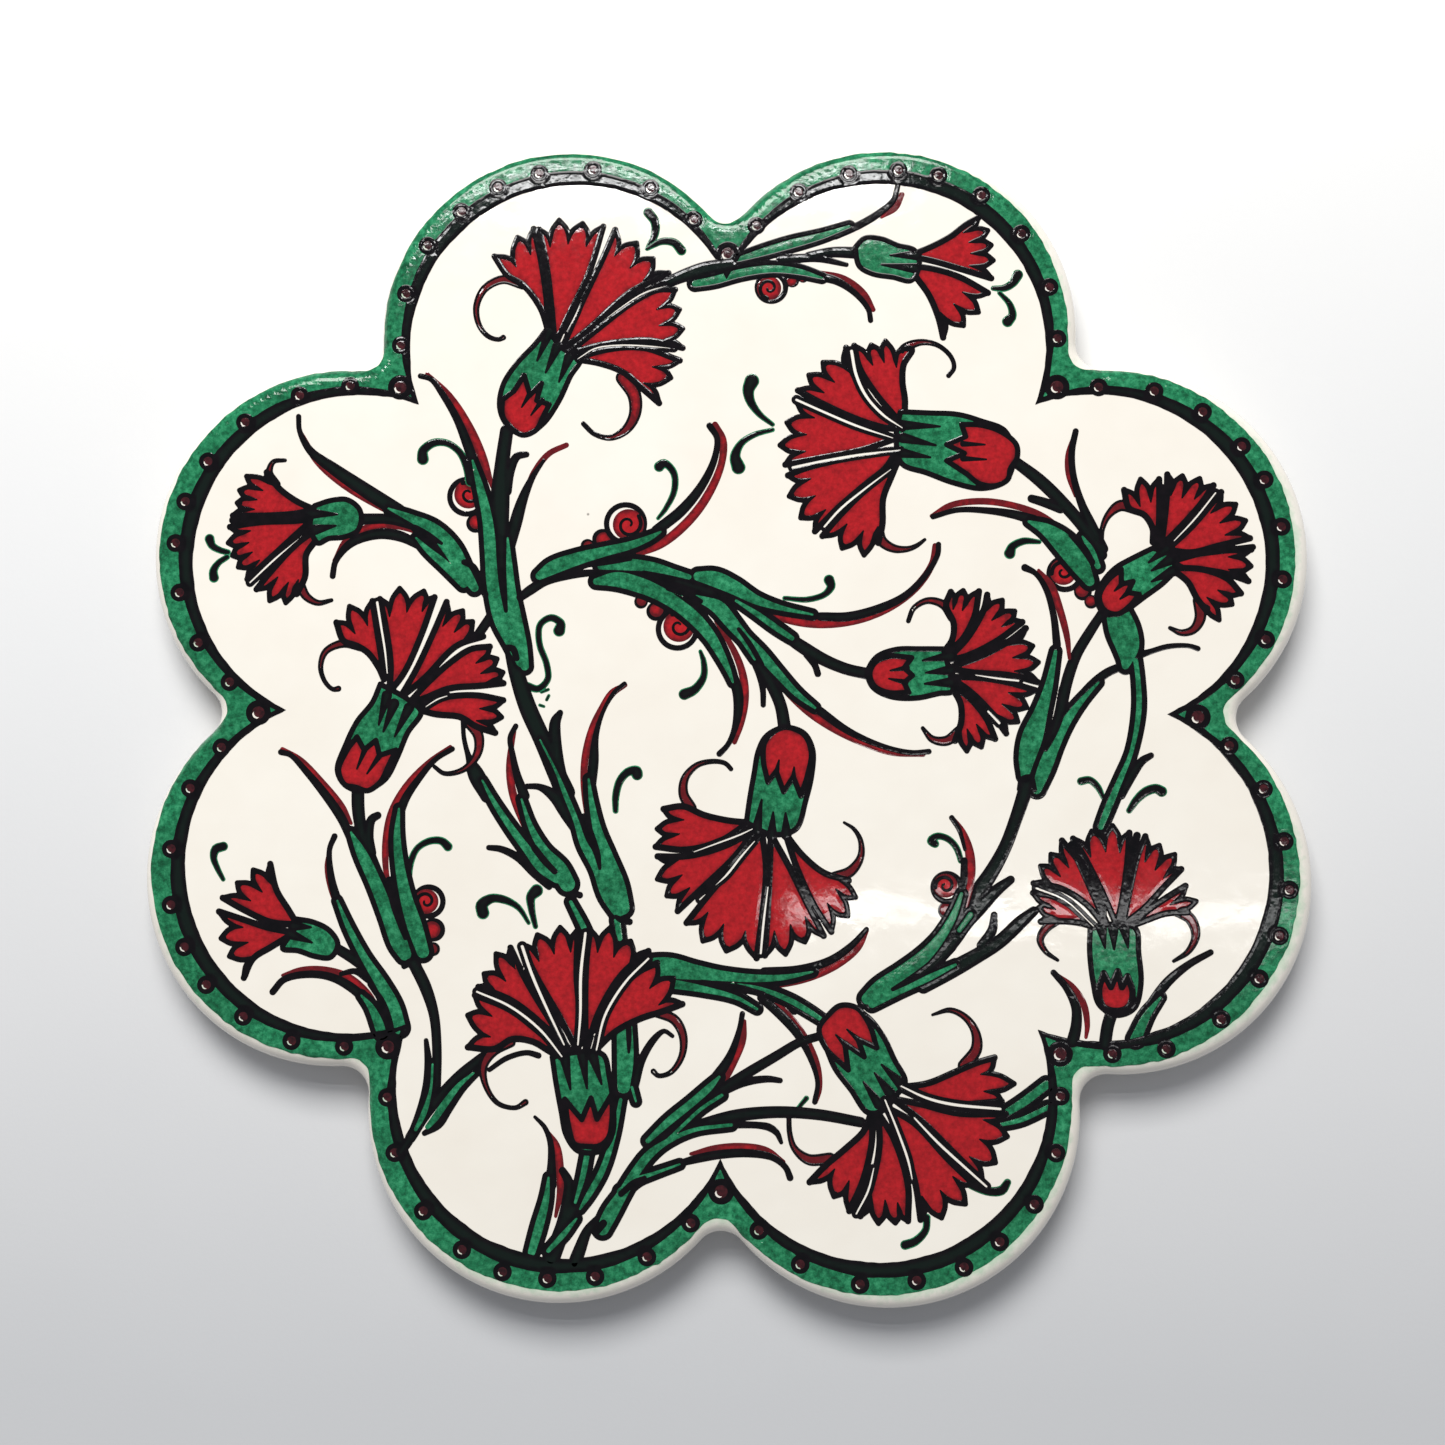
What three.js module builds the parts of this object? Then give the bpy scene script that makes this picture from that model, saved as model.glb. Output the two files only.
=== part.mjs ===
// Hand painted eight-lobed ceramic plate: a pressed biscuit body, a glaze coat over its face and
// rounded edge, and the raised enamel painting that stands on the glaze.
// Millimetres, +Z up. The origin is the centre of the flat underside.

import * as THREE from 'three';

// ---- Driving dimensions -------------------------------------------------------------------

const LOBES = 8;
const LOBE_STEP = ( 2 * Math.PI ) / LOBES;
const FIRST_LOBE = LOBE_STEP / 2;   // the notches lie on the X and Y axes and on the diagonals

const LOBE_CENTRE = 62;             // from the plate's axis to the centre of each lobe's arc
const LOBE_RADIUS = 28;             // so the lobe tips are 90 from the axis: a 180 mm plate
const NOTCH_REACH = 74.7;           // from the plate's axis to the bottom of each notch

const FOOT_CHAMFER = 0.6;           // the fettled lower edge
const GLAZE_LIP = 2.4;              // the glaze stops this far above the table
const GLAZE_THICKNESS = 0.4;
const GLAZE_CLEARANCE = 0.3;        // between body and glaze down the curved wall
const EDGE_ROUNDING = 2.4;          // radius of the glazed top edge
const ENAMEL_THICKNESS = 0.1;       // one coat of raised enamel; the large dots are a second coat
const PLATE_THICKNESS = 8;          // over the large dots
const GLAZE_TOP = PLATE_THICKNESS - 2 * ENAMEL_THICKNESS;
const BODY_TOP = GLAZE_TOP - GLAZE_THICKNESS;

const BAND_INSET = 2.4;             // from the plate's outline to the green band
const CONTOUR_OUTER = { centre: 59.7, radius: 25.9 };
const CONTOUR_INNER = { centre: 58.2, radius: 25.3 };
const BAND_GAP = 0.3;               // between the green band and the black contour line
const CUSP_DOT_REACH = 68.7;        // from the axis to the eight large dots
const CUSP_DOT_RADIUS = 1.8;

const LOBE_STEPS = 14;              // facets along one lobe
const NOTCH_STEPS = 4;              // facets around one notch
const EDGE_STEPS = 3;               // facets over the rounded top edge
const DOT_STEPS = 16;
const SCROLL_STEPS = 18;
const LEAF_STEPS = 10;

// ---- Motif placement ----------------------------------------------------------------------

// Each carnation runs from the foot of its calyx to the neck, where the petals fan out.
// The fan's first and last angles are degrees from +X, counterclockwise.
const CARNATIONS = [
	{ foot: [ - 30.5, 43 ], neck: [ - 26.5, 53 ], reach: 18, from: - 22, to: 112 },
	{ foot: [ 18.5, 67.3 ], neck: [ 25, 67.6 ], reach: 13, from: - 50, to: 25 },
	{ foot: [ 41.5, 38.5 ], neck: [ 28, 41 ], reach: 18.5, from: 122, to: 243 },
	{ foot: [ - 54, 29.5 ], neck: [ - 61, 29 ], reach: 12.5, from: 112, to: 252 },
	{ foot: [ - 53.5, - 9 ], neck: [ - 49.5, 1 ], reach: 17.5, from: - 5, to: 122 },
	{ foot: [ 21.5, 6 ], neck: [ 30.5, 7 ], reach: 14, from: - 62, to: 64 },
	{ foot: [ 55, 18 ], neck: [ 62.5, 22.5 ], reach: 13.5, from: - 55, to: 112 },
	{ foot: [ 9.5, - 3 ], neck: [ 8, - 15.5 ], reach: 18, from: - 183, to: - 35 },
	{ foot: [ 56.5, - 41.5 ], neck: [ 56, - 31 ], reach: 13.5, from: 15, to: 165 },
	{ foot: [ - 19, - 61 ], neck: [ - 20, - 49 ], reach: 17, from: 22, to: 160 },
	{ foot: [ 16.5, - 43.5 ], neck: [ 22, - 54 ], reach: 18, from: - 135, to: 8 },
	{ foot: [ - 57, - 33 ], neck: [ - 63, - 30.5 ], reach: 11.5, from: 112, to: 220 },
];

const CALYX_FOOT_WIDTH = 5.4;
const CALYX_NECK_WIDTH = 3.4;
const PETAL_CLEARANCE = 0.8;        // between the calyx and the narrow end of the fan
const PETAL_TOOTH = 1.6;            // depth of the serrations
const TOOTH_WIDTH = 2.2;            // along the edge of the fan

// Each leaf is a quadratic curve from stalk to tip, with its greatest width at the middle.
const LEAVES = [
	{ stalk: [ - 29.5, 4 ], bend: [ - 31, 28 ], tip: [ - 44, 49 ], width: 4 },
	{ stalk: [ - 27, 20 ], bend: [ - 12, 29 ], tip: [ 14, 13.5 ], width: 3.4 },
	{ stalk: [ - 13, 18.5 ], bend: [ 0, 17 ], tip: [ 8, 1 ], width: 2.6 },
	{ stalk: [ - 36.5, 18.5 ], bend: [ - 42, 30 ], tip: [ - 57, 36.5 ], width: 3.4 },
	{ stalk: [ - 43, - 37 ], bend: [ - 50, - 30 ], tip: [ - 54, - 12 ], width: 4.6 },
	{ stalk: [ - 14, - 31 ], bend: [ - 17, - 20 ], tip: [ - 27, 2 ], width: 4 },
	{ stalk: [ - 21, - 26 ], bend: [ - 30, - 22 ], tip: [ - 35, - 6 ], width: 3 },
	{ stalk: [ - 10, - 34.5 ], bend: [ 2, - 40 ], tip: [ 18, - 36.5 ], width: 3.2 },
	{ stalk: [ 20, - 40.5 ], bend: [ 30, - 36 ], tip: [ 40, - 24 ], width: 4 },
	{ stalk: [ 44.5, - 11 ], bend: [ 44.5, 4 ], tip: [ 53, 14 ], width: 3.6 },
	{ stalk: [ 53, 22.5 ], bend: [ 46, 31 ], tip: [ 31, 30.5 ], width: 3 },
	{ stalk: [ - 19, - 75 ], bend: [ - 10, - 62 ], tip: [ 1, - 50 ], width: 3.6 },
	{ stalk: [ 3, 65 ], bend: [ 9, 67.6 ], tip: [ 16, 66.4 ], width: 2 },
];

// The red scroll buds sit against the leaves.
const SCROLLS = [
	{ at: [ - 40.2, 33 ], radius: 2 },
	{ at: [ - 15, 29 ], radius: 2.2 },
	{ at: [ - 8, 12.4 ], radius: 2.4 },
	{ at: [ 6.5, 63 ], radius: 1.8 },
	{ at: [ 49.6, 21.6 ], radius: 1.8 },
	{ at: [ 32, - 24.3 ], radius: 1.8 },
	{ at: [ - 43.6, - 27.6 ], radius: 2 },
];

// ---- Materials ----------------------------------------------------------------------------

function glossy( colour ) {

	return new THREE.MeshStandardMaterial( { color: colour, roughness: 0.15, metalness: 0 } );

}

const biscuit = new THREE.MeshStandardMaterial( { color: 0xe6ddca, roughness: 0.85, metalness: 0 } );
const creamGlaze = glossy( 0xf5efdf );
const greenEnamel = glossy( 0x1c7a4b );
const redEnamel = glossy( 0xb5202c );
const blackEnamel = glossy( 0x0c0a0e );
const maroonEnamel = glossy( 0x4a1620 );

// ---- Outlines -----------------------------------------------------------------------------

function polar( centre, radius, angle ) {

	return new THREE.Vector2(
		centre.x + radius * Math.cos( angle ),
		centre.y + radius * Math.sin( angle ),
	);

}

const AXIS = new THREE.Vector2( 0, 0 );

// The notch is a fillet circle that touches both neighbouring lobes. Its centre lies on the
// notch's own axis, beyond the bottom of the notch by the fillet's radius.
function notchFillet() {

	const across = LOBE_CENTRE * Math.sin( LOBE_STEP / 2 );
	const along = LOBE_CENTRE * Math.cos( LOBE_STEP / 2 );
	const drop = NOTCH_REACH - along;
	const radius = ( LOBE_RADIUS ** 2 - drop ** 2 - across ** 2 ) / ( 2 * ( drop - LOBE_RADIUS ) );
	return { reach: NOTCH_REACH + radius, radius, halfTurn: Math.atan2( across, drop + radius ) };

}

// The plate's outline moved inwards by the given inset: the lobes shrink as the notches grow.
function scallopedRing( inset ) {

	const notch = notchFillet();
	const lobeHalfTurn = LOBE_STEP / 2 + notch.halfTurn;
	const ring = [];

	for ( let lobe = 0; lobe < LOBES; lobe ++ ) {

		const lobeAxis = FIRST_LOBE + lobe * LOBE_STEP;
		const lobeCentre = polar( AXIS, LOBE_CENTRE, lobeAxis );

		for ( let step = 0; step <= LOBE_STEPS; step ++ ) {

			const turn = ( 2 * step / LOBE_STEPS - 1 ) * lobeHalfTurn;
			ring.push( polar( lobeCentre, LOBE_RADIUS - inset, lobeAxis + turn ) );

		}

		const notchAxis = lobeAxis + LOBE_STEP / 2;
		const notchCentre = polar( AXIS, notch.reach, notchAxis );

		for ( let step = 1; step < NOTCH_STEPS; step ++ ) {

			const turn = ( 1 - 2 * step / NOTCH_STEPS ) * notch.halfTurn;
			ring.push( polar( notchCentre, notch.radius + inset, notchAxis + Math.PI + turn ) );

		}

	}

	return ring;

}

// Eight arcs that meet in inward cusps, as the black contour line does.
function cuspedRing( { centre, radius }, inset = 0 ) {

	const reach = centre * Math.sin( LOBE_STEP / 2 );
	const halfTurn = Math.PI / 2 + LOBE_STEP / 2 - Math.acos( reach / ( radius - inset ) );
	const ring = [];

	for ( let lobe = 0; lobe < LOBES; lobe ++ ) {

		const lobeAxis = FIRST_LOBE + lobe * LOBE_STEP;
		const lobeCentre = polar( AXIS, centre, lobeAxis );

		for ( let step = 0; step < LOBE_STEPS; step ++ ) {

			const turn = ( 2 * step / LOBE_STEPS - 1 ) * halfTurn;
			ring.push( polar( lobeCentre, radius - inset, lobeAxis + turn ) );

		}

	}

	return ring;

}

function circleRing( x, y, radius, steps ) {

	const centre = new THREE.Vector2( x, y );
	return Array.from( { length: steps }, ( _, i ) => polar( centre, radius, 2 * Math.PI * i / steps ) );

}

// ---- Solids -------------------------------------------------------------------------------

// Closes a scalloped solid through a profile of [ inset, z ] pairs, from the centre of its
// underside, over its wall, to the centre of its top.
function scallopedSolid( profile ) {

	const rings = profile.map( ( [ inset, z ] ) => scallopedRing( inset ).map( ( p ) => [ p.x, p.y, z ] ) );
	const count = rings[ 0 ].length;
	const positions = rings.flat( 2 );
	const underside = positions.length / 3;
	positions.push( 0, 0, profile[ 0 ][ 1 ] );
	const top = underside + 1;
	positions.push( 0, 0, profile.at( - 1 )[ 1 ] );

	const indices = [];
	const lastRing = ( rings.length - 1 ) * count;

	for ( let i = 0; i < count; i ++ ) {

		const next = ( i + 1 ) % count;
		indices.push( underside, next, i );
		indices.push( top, lastRing + i, lastRing + next );

		for ( let ring = 0; ring < rings.length - 1; ring ++ ) {

			const low = ring * count;
			const high = low + count;
			indices.push( low + i, low + next, high + next );
			indices.push( low + i, high + next, high + i );

		}

	}

	const geometry = new THREE.BufferGeometry();
	geometry.setAttribute( 'position', new THREE.Float32BufferAttribute( positions, 3 ) );
	geometry.setIndex( indices );
	geometry.computeVertexNormals();
	return geometry;

}

// A quarter turn of the rounded edge, from the wall to the flat face.
function roundedEdge( wallInset, reach, rise, zCentre ) {

	return Array.from( { length: EDGE_STEPS + 1 }, ( _, step ) => {

		const turn = ( step / EDGE_STEPS ) * Math.PI / 2;
		return [ wallInset + reach * ( 1 - Math.cos( turn ) ), zCentre + rise * Math.sin( turn ) ];

	} );

}

function enamelSolid( outline, holes = [] ) {

	const shape = new THREE.Shape( outline );
	shape.holes = holes.map( ( hole ) => new THREE.Path( hole ) );
	return new THREE.ExtrudeGeometry( shape, { depth: ENAMEL_THICKNESS, bevelEnabled: false } );

}

// ---- Pieces -------------------------------------------------------------------------------

const plate = new THREE.Group();

function addPiece( name, geometry, material ) {

	const mesh = new THREE.Mesh( geometry, material );
	mesh.name = name;
	plate.add( mesh );
	return mesh;

}

function addEnamel( name, geometry, material ) {

	const mesh = addPiece( name, geometry, material );
	mesh.position.z = GLAZE_TOP;
	return mesh;

}

function pieceNumber( index ) {

	return String( index + 1 ).padStart( 2, '0' );

}

function addCeramicBody() {

	const wall = GLAZE_THICKNESS + GLAZE_CLEARANCE;
	const edgeCentre = GLAZE_TOP - EDGE_ROUNDING;
	addPiece( 'ceramic_body', scallopedSolid( [
		[ wall + FOOT_CHAMFER, 0 ],
		[ wall, FOOT_CHAMFER ],
		...roundedEdge( wall, EDGE_ROUNDING - wall, BODY_TOP - edgeCentre, edgeCentre ),
	] ), biscuit );

}

function addGlazeCoat() {

	const edgeCentre = GLAZE_TOP - EDGE_ROUNDING;
	const inner = roundedEdge(
		GLAZE_THICKNESS, EDGE_ROUNDING - GLAZE_THICKNESS, BODY_TOP - edgeCentre, edgeCentre,
	);
	const outer = roundedEdge( 0, EDGE_ROUNDING, EDGE_ROUNDING, edgeCentre );
	addPiece( 'glaze_coat', scallopedSolid( [
		...inner.reverse(),
		[ GLAZE_THICKNESS, GLAZE_LIP ],
		[ 0, GLAZE_LIP ],
		...outer,
	] ), creamGlaze );

}

// The large dots are beads that stand on the band and the contour line, where the lobes meet.
function addBorder() {

	const band = enamelSolid( scallopedRing( BAND_INSET ), [ cuspedRing( CONTOUR_OUTER, - BAND_GAP ) ] );
	addEnamel( 'green_border_band', band, greenEnamel );

	const contour = enamelSolid( cuspedRing( CONTOUR_OUTER ), [ cuspedRing( CONTOUR_INNER ) ] );
	addEnamel( 'black_contour_line', contour, blackEnamel );

	for ( let notch = 0; notch < LOBES; notch ++ ) {

		const { x, y } = polar( AXIS, CUSP_DOT_REACH, notch * LOBE_STEP );
		const bead = enamelSolid( circleRing( x, y, CUSP_DOT_RADIUS, DOT_STEPS ) );
		const piece = addEnamel( 'cusp_dot_' + pieceNumber( notch ), bead, maroonEnamel );
		piece.position.z += ENAMEL_THICKNESS;

	}

}

function calyxOutline( foot, neck ) {

	const along = neck.clone().sub( foot ).normalize();
	const side = new THREE.Vector2( - along.y, along.x );
	const corner = ( point, width ) => point.clone().addScaledVector( side, width / 2 );
	return [
		corner( foot, - CALYX_FOOT_WIDTH ),
		corner( neck, - CALYX_NECK_WIDTH ),
		corner( neck, CALYX_NECK_WIDTH ),
		corner( foot, CALYX_FOOT_WIDTH ),
	];

}

// A fan whose narrow end is an arc clear of the calyx and whose outer edge is serrated.
function petalOutline( flower, neck ) {

	const from = THREE.MathUtils.degToRad( flower.from );
	const to = THREE.MathUtils.degToRad( flower.to );
	const teeth = Math.round( flower.reach * ( to - from ) / TOOTH_WIDTH );
	const narrowRadius = CALYX_NECK_WIDTH / 2 + PETAL_CLEARANCE;
	const outline = [];

	for ( let tooth = 0; tooth <= 2 * teeth; tooth ++ ) {

		const turn = THREE.MathUtils.lerp( from, to, tooth / ( 2 * teeth ) );
		const radius = flower.reach - ( tooth % 2 === 0 ? PETAL_TOOTH : 0 );
		outline.push( polar( neck, radius, turn ) );

	}

	const narrowSteps = 4;

	for ( let step = 0; step <= narrowSteps; step ++ ) {

		outline.push( polar( neck, narrowRadius, THREE.MathUtils.lerp( to, from, step / narrowSteps ) ) );

	}

	return outline;

}

function addCarnations() {

	CARNATIONS.forEach( ( flower, i ) => {

		const foot = new THREE.Vector2( ...flower.foot );
		const neck = new THREE.Vector2( ...flower.neck );
		const name = 'carnation_' + pieceNumber( i );
		addEnamel( name + '_calyx', enamelSolid( calyxOutline( foot, neck ) ), greenEnamel );
		addEnamel( name + '_petals', enamelSolid( petalOutline( flower, neck ) ), redEnamel );

	} );

}

function leafOutline( leaf ) {

	const curve = new THREE.QuadraticBezierCurve(
		new THREE.Vector2( ...leaf.stalk ),
		new THREE.Vector2( ...leaf.bend ),
		new THREE.Vector2( ...leaf.tip ),
	);
	const edge = ( t, sign ) => {

		const along = curve.getTangent( t );
		const side = new THREE.Vector2( - along.y, along.x );
		const halfWidth = sign * leaf.width / 2 * Math.sin( Math.PI * t );
		return curve.getPoint( t ).addScaledVector( side, halfWidth );

	};
	const inner = Array.from( { length: LEAF_STEPS - 1 }, ( _, i ) => ( i + 1 ) / LEAF_STEPS );
	return [
		edge( 0, 1 ),
		...inner.map( ( t ) => edge( t, - 1 ) ),
		edge( 1, 1 ),
		...inner.reverse().map( ( t ) => edge( t, 1 ) ),
	];

}

function addLeaves() {

	LEAVES.forEach( ( leaf, i ) => {

		addEnamel( 'leaf_' + pieceNumber( i ), enamelSolid( leafOutline( leaf ) ), greenEnamel );

	} );

}

function addScrolls() {

	SCROLLS.forEach( ( { at: [ x, y ], radius }, i ) => {

		const bud = circleRing( x, y, radius, SCROLL_STEPS );
		addEnamel( 'scroll_bud_' + pieceNumber( i ), enamelSolid( bud ), redEnamel );

	} );

}

addCeramicBody();
addGlazeCoat();
addBorder();
addCarnations();
addLeaves();
addScrolls();

export default plate;
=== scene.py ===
"""Looks for a hand painted eight-lobed ceramic plate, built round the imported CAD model.

The painting is worked out in millimetres on the flat face, as distances from each colour's edge.
Its colours become thin closed reliefs that stand on the glaze, as fired enamel does.
"""

import math

import bpy
import numpy as np
from mathutils import Matrix, Vector
from mathutils.geometry import delaunay_2d_cdt


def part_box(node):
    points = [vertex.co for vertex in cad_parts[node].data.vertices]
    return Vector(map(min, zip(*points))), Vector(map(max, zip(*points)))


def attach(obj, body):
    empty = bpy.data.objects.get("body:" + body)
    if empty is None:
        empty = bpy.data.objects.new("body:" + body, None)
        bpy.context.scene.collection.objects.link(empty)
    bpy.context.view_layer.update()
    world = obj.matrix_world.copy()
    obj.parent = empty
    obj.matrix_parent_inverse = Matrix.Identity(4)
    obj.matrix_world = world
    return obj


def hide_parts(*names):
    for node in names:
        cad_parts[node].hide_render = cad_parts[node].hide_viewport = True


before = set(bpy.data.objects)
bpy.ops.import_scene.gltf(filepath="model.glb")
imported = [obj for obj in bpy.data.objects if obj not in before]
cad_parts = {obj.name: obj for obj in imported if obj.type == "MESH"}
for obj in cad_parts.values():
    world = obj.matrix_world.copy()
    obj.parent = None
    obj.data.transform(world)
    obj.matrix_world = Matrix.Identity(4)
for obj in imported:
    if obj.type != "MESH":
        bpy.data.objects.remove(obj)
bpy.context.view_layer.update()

# Lengths are in millimetres, from the middle of the plate's underside, where nothing else is said.
MM = 0.001                  # metres in a millimetre
NEAR = 1e-6                 # a length that counts as nothing
TINY = 1e-9                 # keeps a divisor above zero
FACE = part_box("glaze_coat")[1][2] / MM      # height of the glazed face
GLAZE_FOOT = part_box("glaze_coat")[0][2] / MM
BODY_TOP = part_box("ceramic_body")[1][2] / MM

# ---- Shape of the plate, as in the CAD part ------------------------------------------------

LOBES = 8
LOBE_STEP = 2 * math.pi / LOBES
LOBE_AXES = [(lobe + 0.5) * LOBE_STEP for lobe in range(LOBES)]
LOBE_CENTRE = 62            # from the plate's middle
LOBE_RADIUS = 28
NOTCH_REACH = 74.7          # from the plate's middle to the deepest point between two lobes
EDGE_ROUNDING = 2.4
GLAZE_THICKNESS = 0.4
WALL_CLEARANCE = 0.3        # keeps the body clear of the inside of the glaze
FOOT_CHAMFER = 0.6

LOBE_SEGMENTS = 56          # along the arc of a lobe, of a notch and of the rounded edge
NOTCH_SEGMENTS = 12
EDGE_SEGMENTS = 10


def polar(centre, radius, angle):
    """The point at that distance and angle from a centre."""
    return centre[0] + radius * math.cos(angle), centre[1] + radius * math.sin(angle)


def notch_fillet(centre, radius, notch_reach):
    """Reach, radius and half turn of the arc that joins two lobes."""
    across = centre * math.sin(LOBE_STEP / 2)
    drop = notch_reach - centre * math.cos(LOBE_STEP / 2)
    fillet = (radius**2 - drop**2 - across**2) / (2 * (drop - radius))
    return notch_reach + fillet, fillet, math.atan2(across, drop + fillet)


def scalloped_ring(inset, centre=LOBE_CENTRE, radius=LOBE_RADIUS, notch_reach=NOTCH_REACH):
    """An outline of eight joined lobes moved inwards: the lobes shrink as the notches grow."""
    reach, fillet, half_turn = notch_fillet(centre, radius, notch_reach)
    ring = []
    for axis in LOBE_AXES:
        middle = polar((0, 0), centre, axis)
        for turn in np.linspace(-1, 1, LOBE_SEGMENTS + 1) * (LOBE_STEP / 2 + half_turn):
            ring.append(polar(middle, radius - inset, axis + turn))
        notch = axis + LOBE_STEP / 2
        middle = polar((0, 0), reach, notch)
        for turn in np.linspace(half_turn, -half_turn, NOTCH_SEGMENTS + 1)[1:-1]:
            ring.append(polar(middle, fillet + inset, notch + math.pi + turn))
    return np.array(ring)


def glaze_height(points):
    """Height of the glaze under (x, y) points: flat, then falling over the rounded edge."""
    reach, fillet, half_turn = notch_fillet(LOBE_CENTRE, LOBE_RADIUS, NOTCH_REACH)
    distance = np.hypot(*points.T)
    turn = np.arctan2(*points.T[::-1]) % LOBE_STEP - LOBE_STEP / 2
    x, y = distance * np.cos(turn), distance * np.abs(np.sin(turn))
    notch = polar((0, 0), reach, LOBE_STEP / 2)
    inside_lobe = LOBE_RADIUS - np.hypot(x - LOBE_CENTRE, y)
    inside_notch = np.hypot(x - notch[0], y - notch[1]) - fillet
    at_notch = np.arctan2(y, x - LOBE_CENTRE) > LOBE_STEP / 2 + half_turn
    inset = np.where(at_notch, inside_notch, inside_lobe).clip(0, EDGE_ROUNDING)
    return FACE - EDGE_ROUNDING + np.sqrt(EDGE_ROUNDING**2 - (EDGE_ROUNDING - inset)**2)


def cusped_ring(centre, radius):
    """Eight arcs that meet in inward cusps."""
    half_turn = math.pi / 2 + LOBE_STEP / 2 - math.acos(centre * math.sin(LOBE_STEP / 2) / radius)
    ring = []
    for axis in LOBE_AXES:
        middle = polar((0, 0), centre, axis)
        for part in np.linspace(-1, 1, LOBE_SEGMENTS, endpoint=False):
            ring.append(polar(middle, radius, axis + part * half_turn))
    return np.array(ring)


# ---- Meshes --------------------------------------------------------------------------------


def add_mesh(name, vertices, faces, material, attributes=None, smooth=True):
    """A mesh object from vertices in millimetres."""
    mesh = bpy.data.meshes.new(name)
    mesh.from_pydata(np.asarray(vertices, float) * MM, [], faces)
    mesh.polygons.foreach_set("use_smooth", [smooth] * len(mesh.polygons))
    for key, values in (attributes or {}).items():
        mesh.attributes.new(key, "FLOAT", "POINT").data.foreach_set("value", values)
    mesh.materials.append(material)
    mesh.update()
    piece = bpy.data.objects.new(name, mesh)
    bpy.context.scene.collection.objects.link(piece)
    return piece


def add_piece(name, vertices, faces, material, slot, nodes, attributes=None, smooth=True):
    """A piece of the plate, which stands for the CAD nodes named."""
    piece = add_mesh(name, vertices, faces, material, attributes, smooth)
    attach(piece, "root")
    if nodes:
        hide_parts(*nodes)


def nodes_named(*parts):
    """The CAD nodes with any of those parts in their names."""
    return sorted(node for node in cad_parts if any(part in node for part in parts))


def scalloped_solid(profile):
    """Closed loft through (inset, z) pairs, from the centre of the first ring to the last."""
    rings = [scalloped_ring(inset) for inset, _ in profile]
    count = len(rings[0])
    vertices = [(*point, z) for ring, (_, z) in zip(rings, profile) for point in ring]
    faces = [tuple(reversed(range(count)))]
    for level in range(len(rings) - 1):
        low = level * count
        for i in range(count):
            j = (i + 1) % count
            faces.append((low + i, low + j, low + count + j, low + count + i))
    last = (len(rings) - 1) * count
    faces.append(tuple(range(last, last + count)))
    return vertices, faces


def rounded_edge(wall, reach, rise, centre):
    """A quarter of an ellipse as (inset, z) pairs, from the wall up and inwards."""
    turns = np.linspace(0, math.pi / 2, EDGE_SEGMENTS + 1)
    return [(wall + reach * (1 - math.cos(turn)), centre + rise * math.sin(turn)) for turn in turns]


# ---- Painting: distances in millimetres, positive inside each colour -----------------------

PITCH = 0.1                 # between samples of the painting
REACH = 88                  # from the plate's centre to the edge of the sampled square
FAR = 1.0                   # the greatest distance that is kept
STROKE_MARGIN = 0.4         # how far outside a stroke its distances are worked out
WINDOW_MARGIN = 0.5         # between a stroke and the edge of its window, a little more than that
GRID = np.linspace(-REACH, REACH, round(2 * REACH / PITCH) + 1)
COLOURS = ("red", "green", "black")


def spline(points, step=0.35):
    """Centripetal Catmull-Rom curve through rows (x, y, ...), sampled about every step."""
    rows = np.asarray(points, float)
    if len(rows) < 3:
        return rows
    rows = np.vstack([2 * rows[0] - rows[1], rows, 2 * rows[-1] - rows[-2]])
    samples = []
    for p0, p1, p2, p3 in zip(rows, rows[1:], rows[2:], rows[3:]):
        spans = ((p0, p1), (p1, p2), (p2, p3))
        d1, d2, d3 = (max(math.dist(a[:2], b[:2]), NEAR) ** 0.5 for a, b in spans)
        start = d2 * ((p1 - p0) / d1 - (p2 - p0) / (d1 + d2) + (p2 - p1) / d2)
        end = d2 * ((p2 - p1) / d2 - (p3 - p1) / (d2 + d3) + (p3 - p2) / d3)
        count = max(2, int(math.dist(p1[:2], p2[:2]) / step) + 1)
        t = np.linspace(0, 1, count, endpoint=False)[:, None]
        samples.append((2 * t**3 - 3 * t**2 + 1) * p1 + (t**3 - 2 * t**2 + t) * start
                       + (3 * t**2 - 2 * t**3) * p2 + (t**3 - t**2) * end)
    return np.vstack([*samples, rows[-2:-1]])


def window(points, margin):
    """The slices of the grid that hold the points and a margin round them."""
    low = np.floor((points.min(0) - margin + REACH) / PITCH).astype(int).clip(0, len(GRID) - 2)
    high = np.ceil((points.max(0) + margin + REACH) / PITCH).astype(int).clip(1, len(GRID) - 1) + 1
    return slice(low[1], high[1]), slice(low[0], high[0])


def segment_gaps(area, line, reach):
    """For each piece of a line: its spot in the area, the distances to it and how far along."""
    for a, b, near in zip(line, line[1:], np.maximum(reach[1:], reach[:-1])):
        part = window(np.array([a, b]), near)
        part = [slice(max(p.start, w.start), min(p.stop, w.stop)) for p, w in zip(part, area)]
        y, x = GRID[part[0]][:, None], GRID[part[1]][None, :]
        run = b - a
        t = (((x - a[0]) * run[0] + (y - a[1]) * run[1]) / max(run @ run, TINY)).clip(0, 1)
        gap = np.hypot(x - a[0] - t * run[0], y - a[1] - t * run[1])
        yield tuple(slice(p.start - w.start, p.stop - w.start) for p, w in zip(part, area)), gap, t


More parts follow.
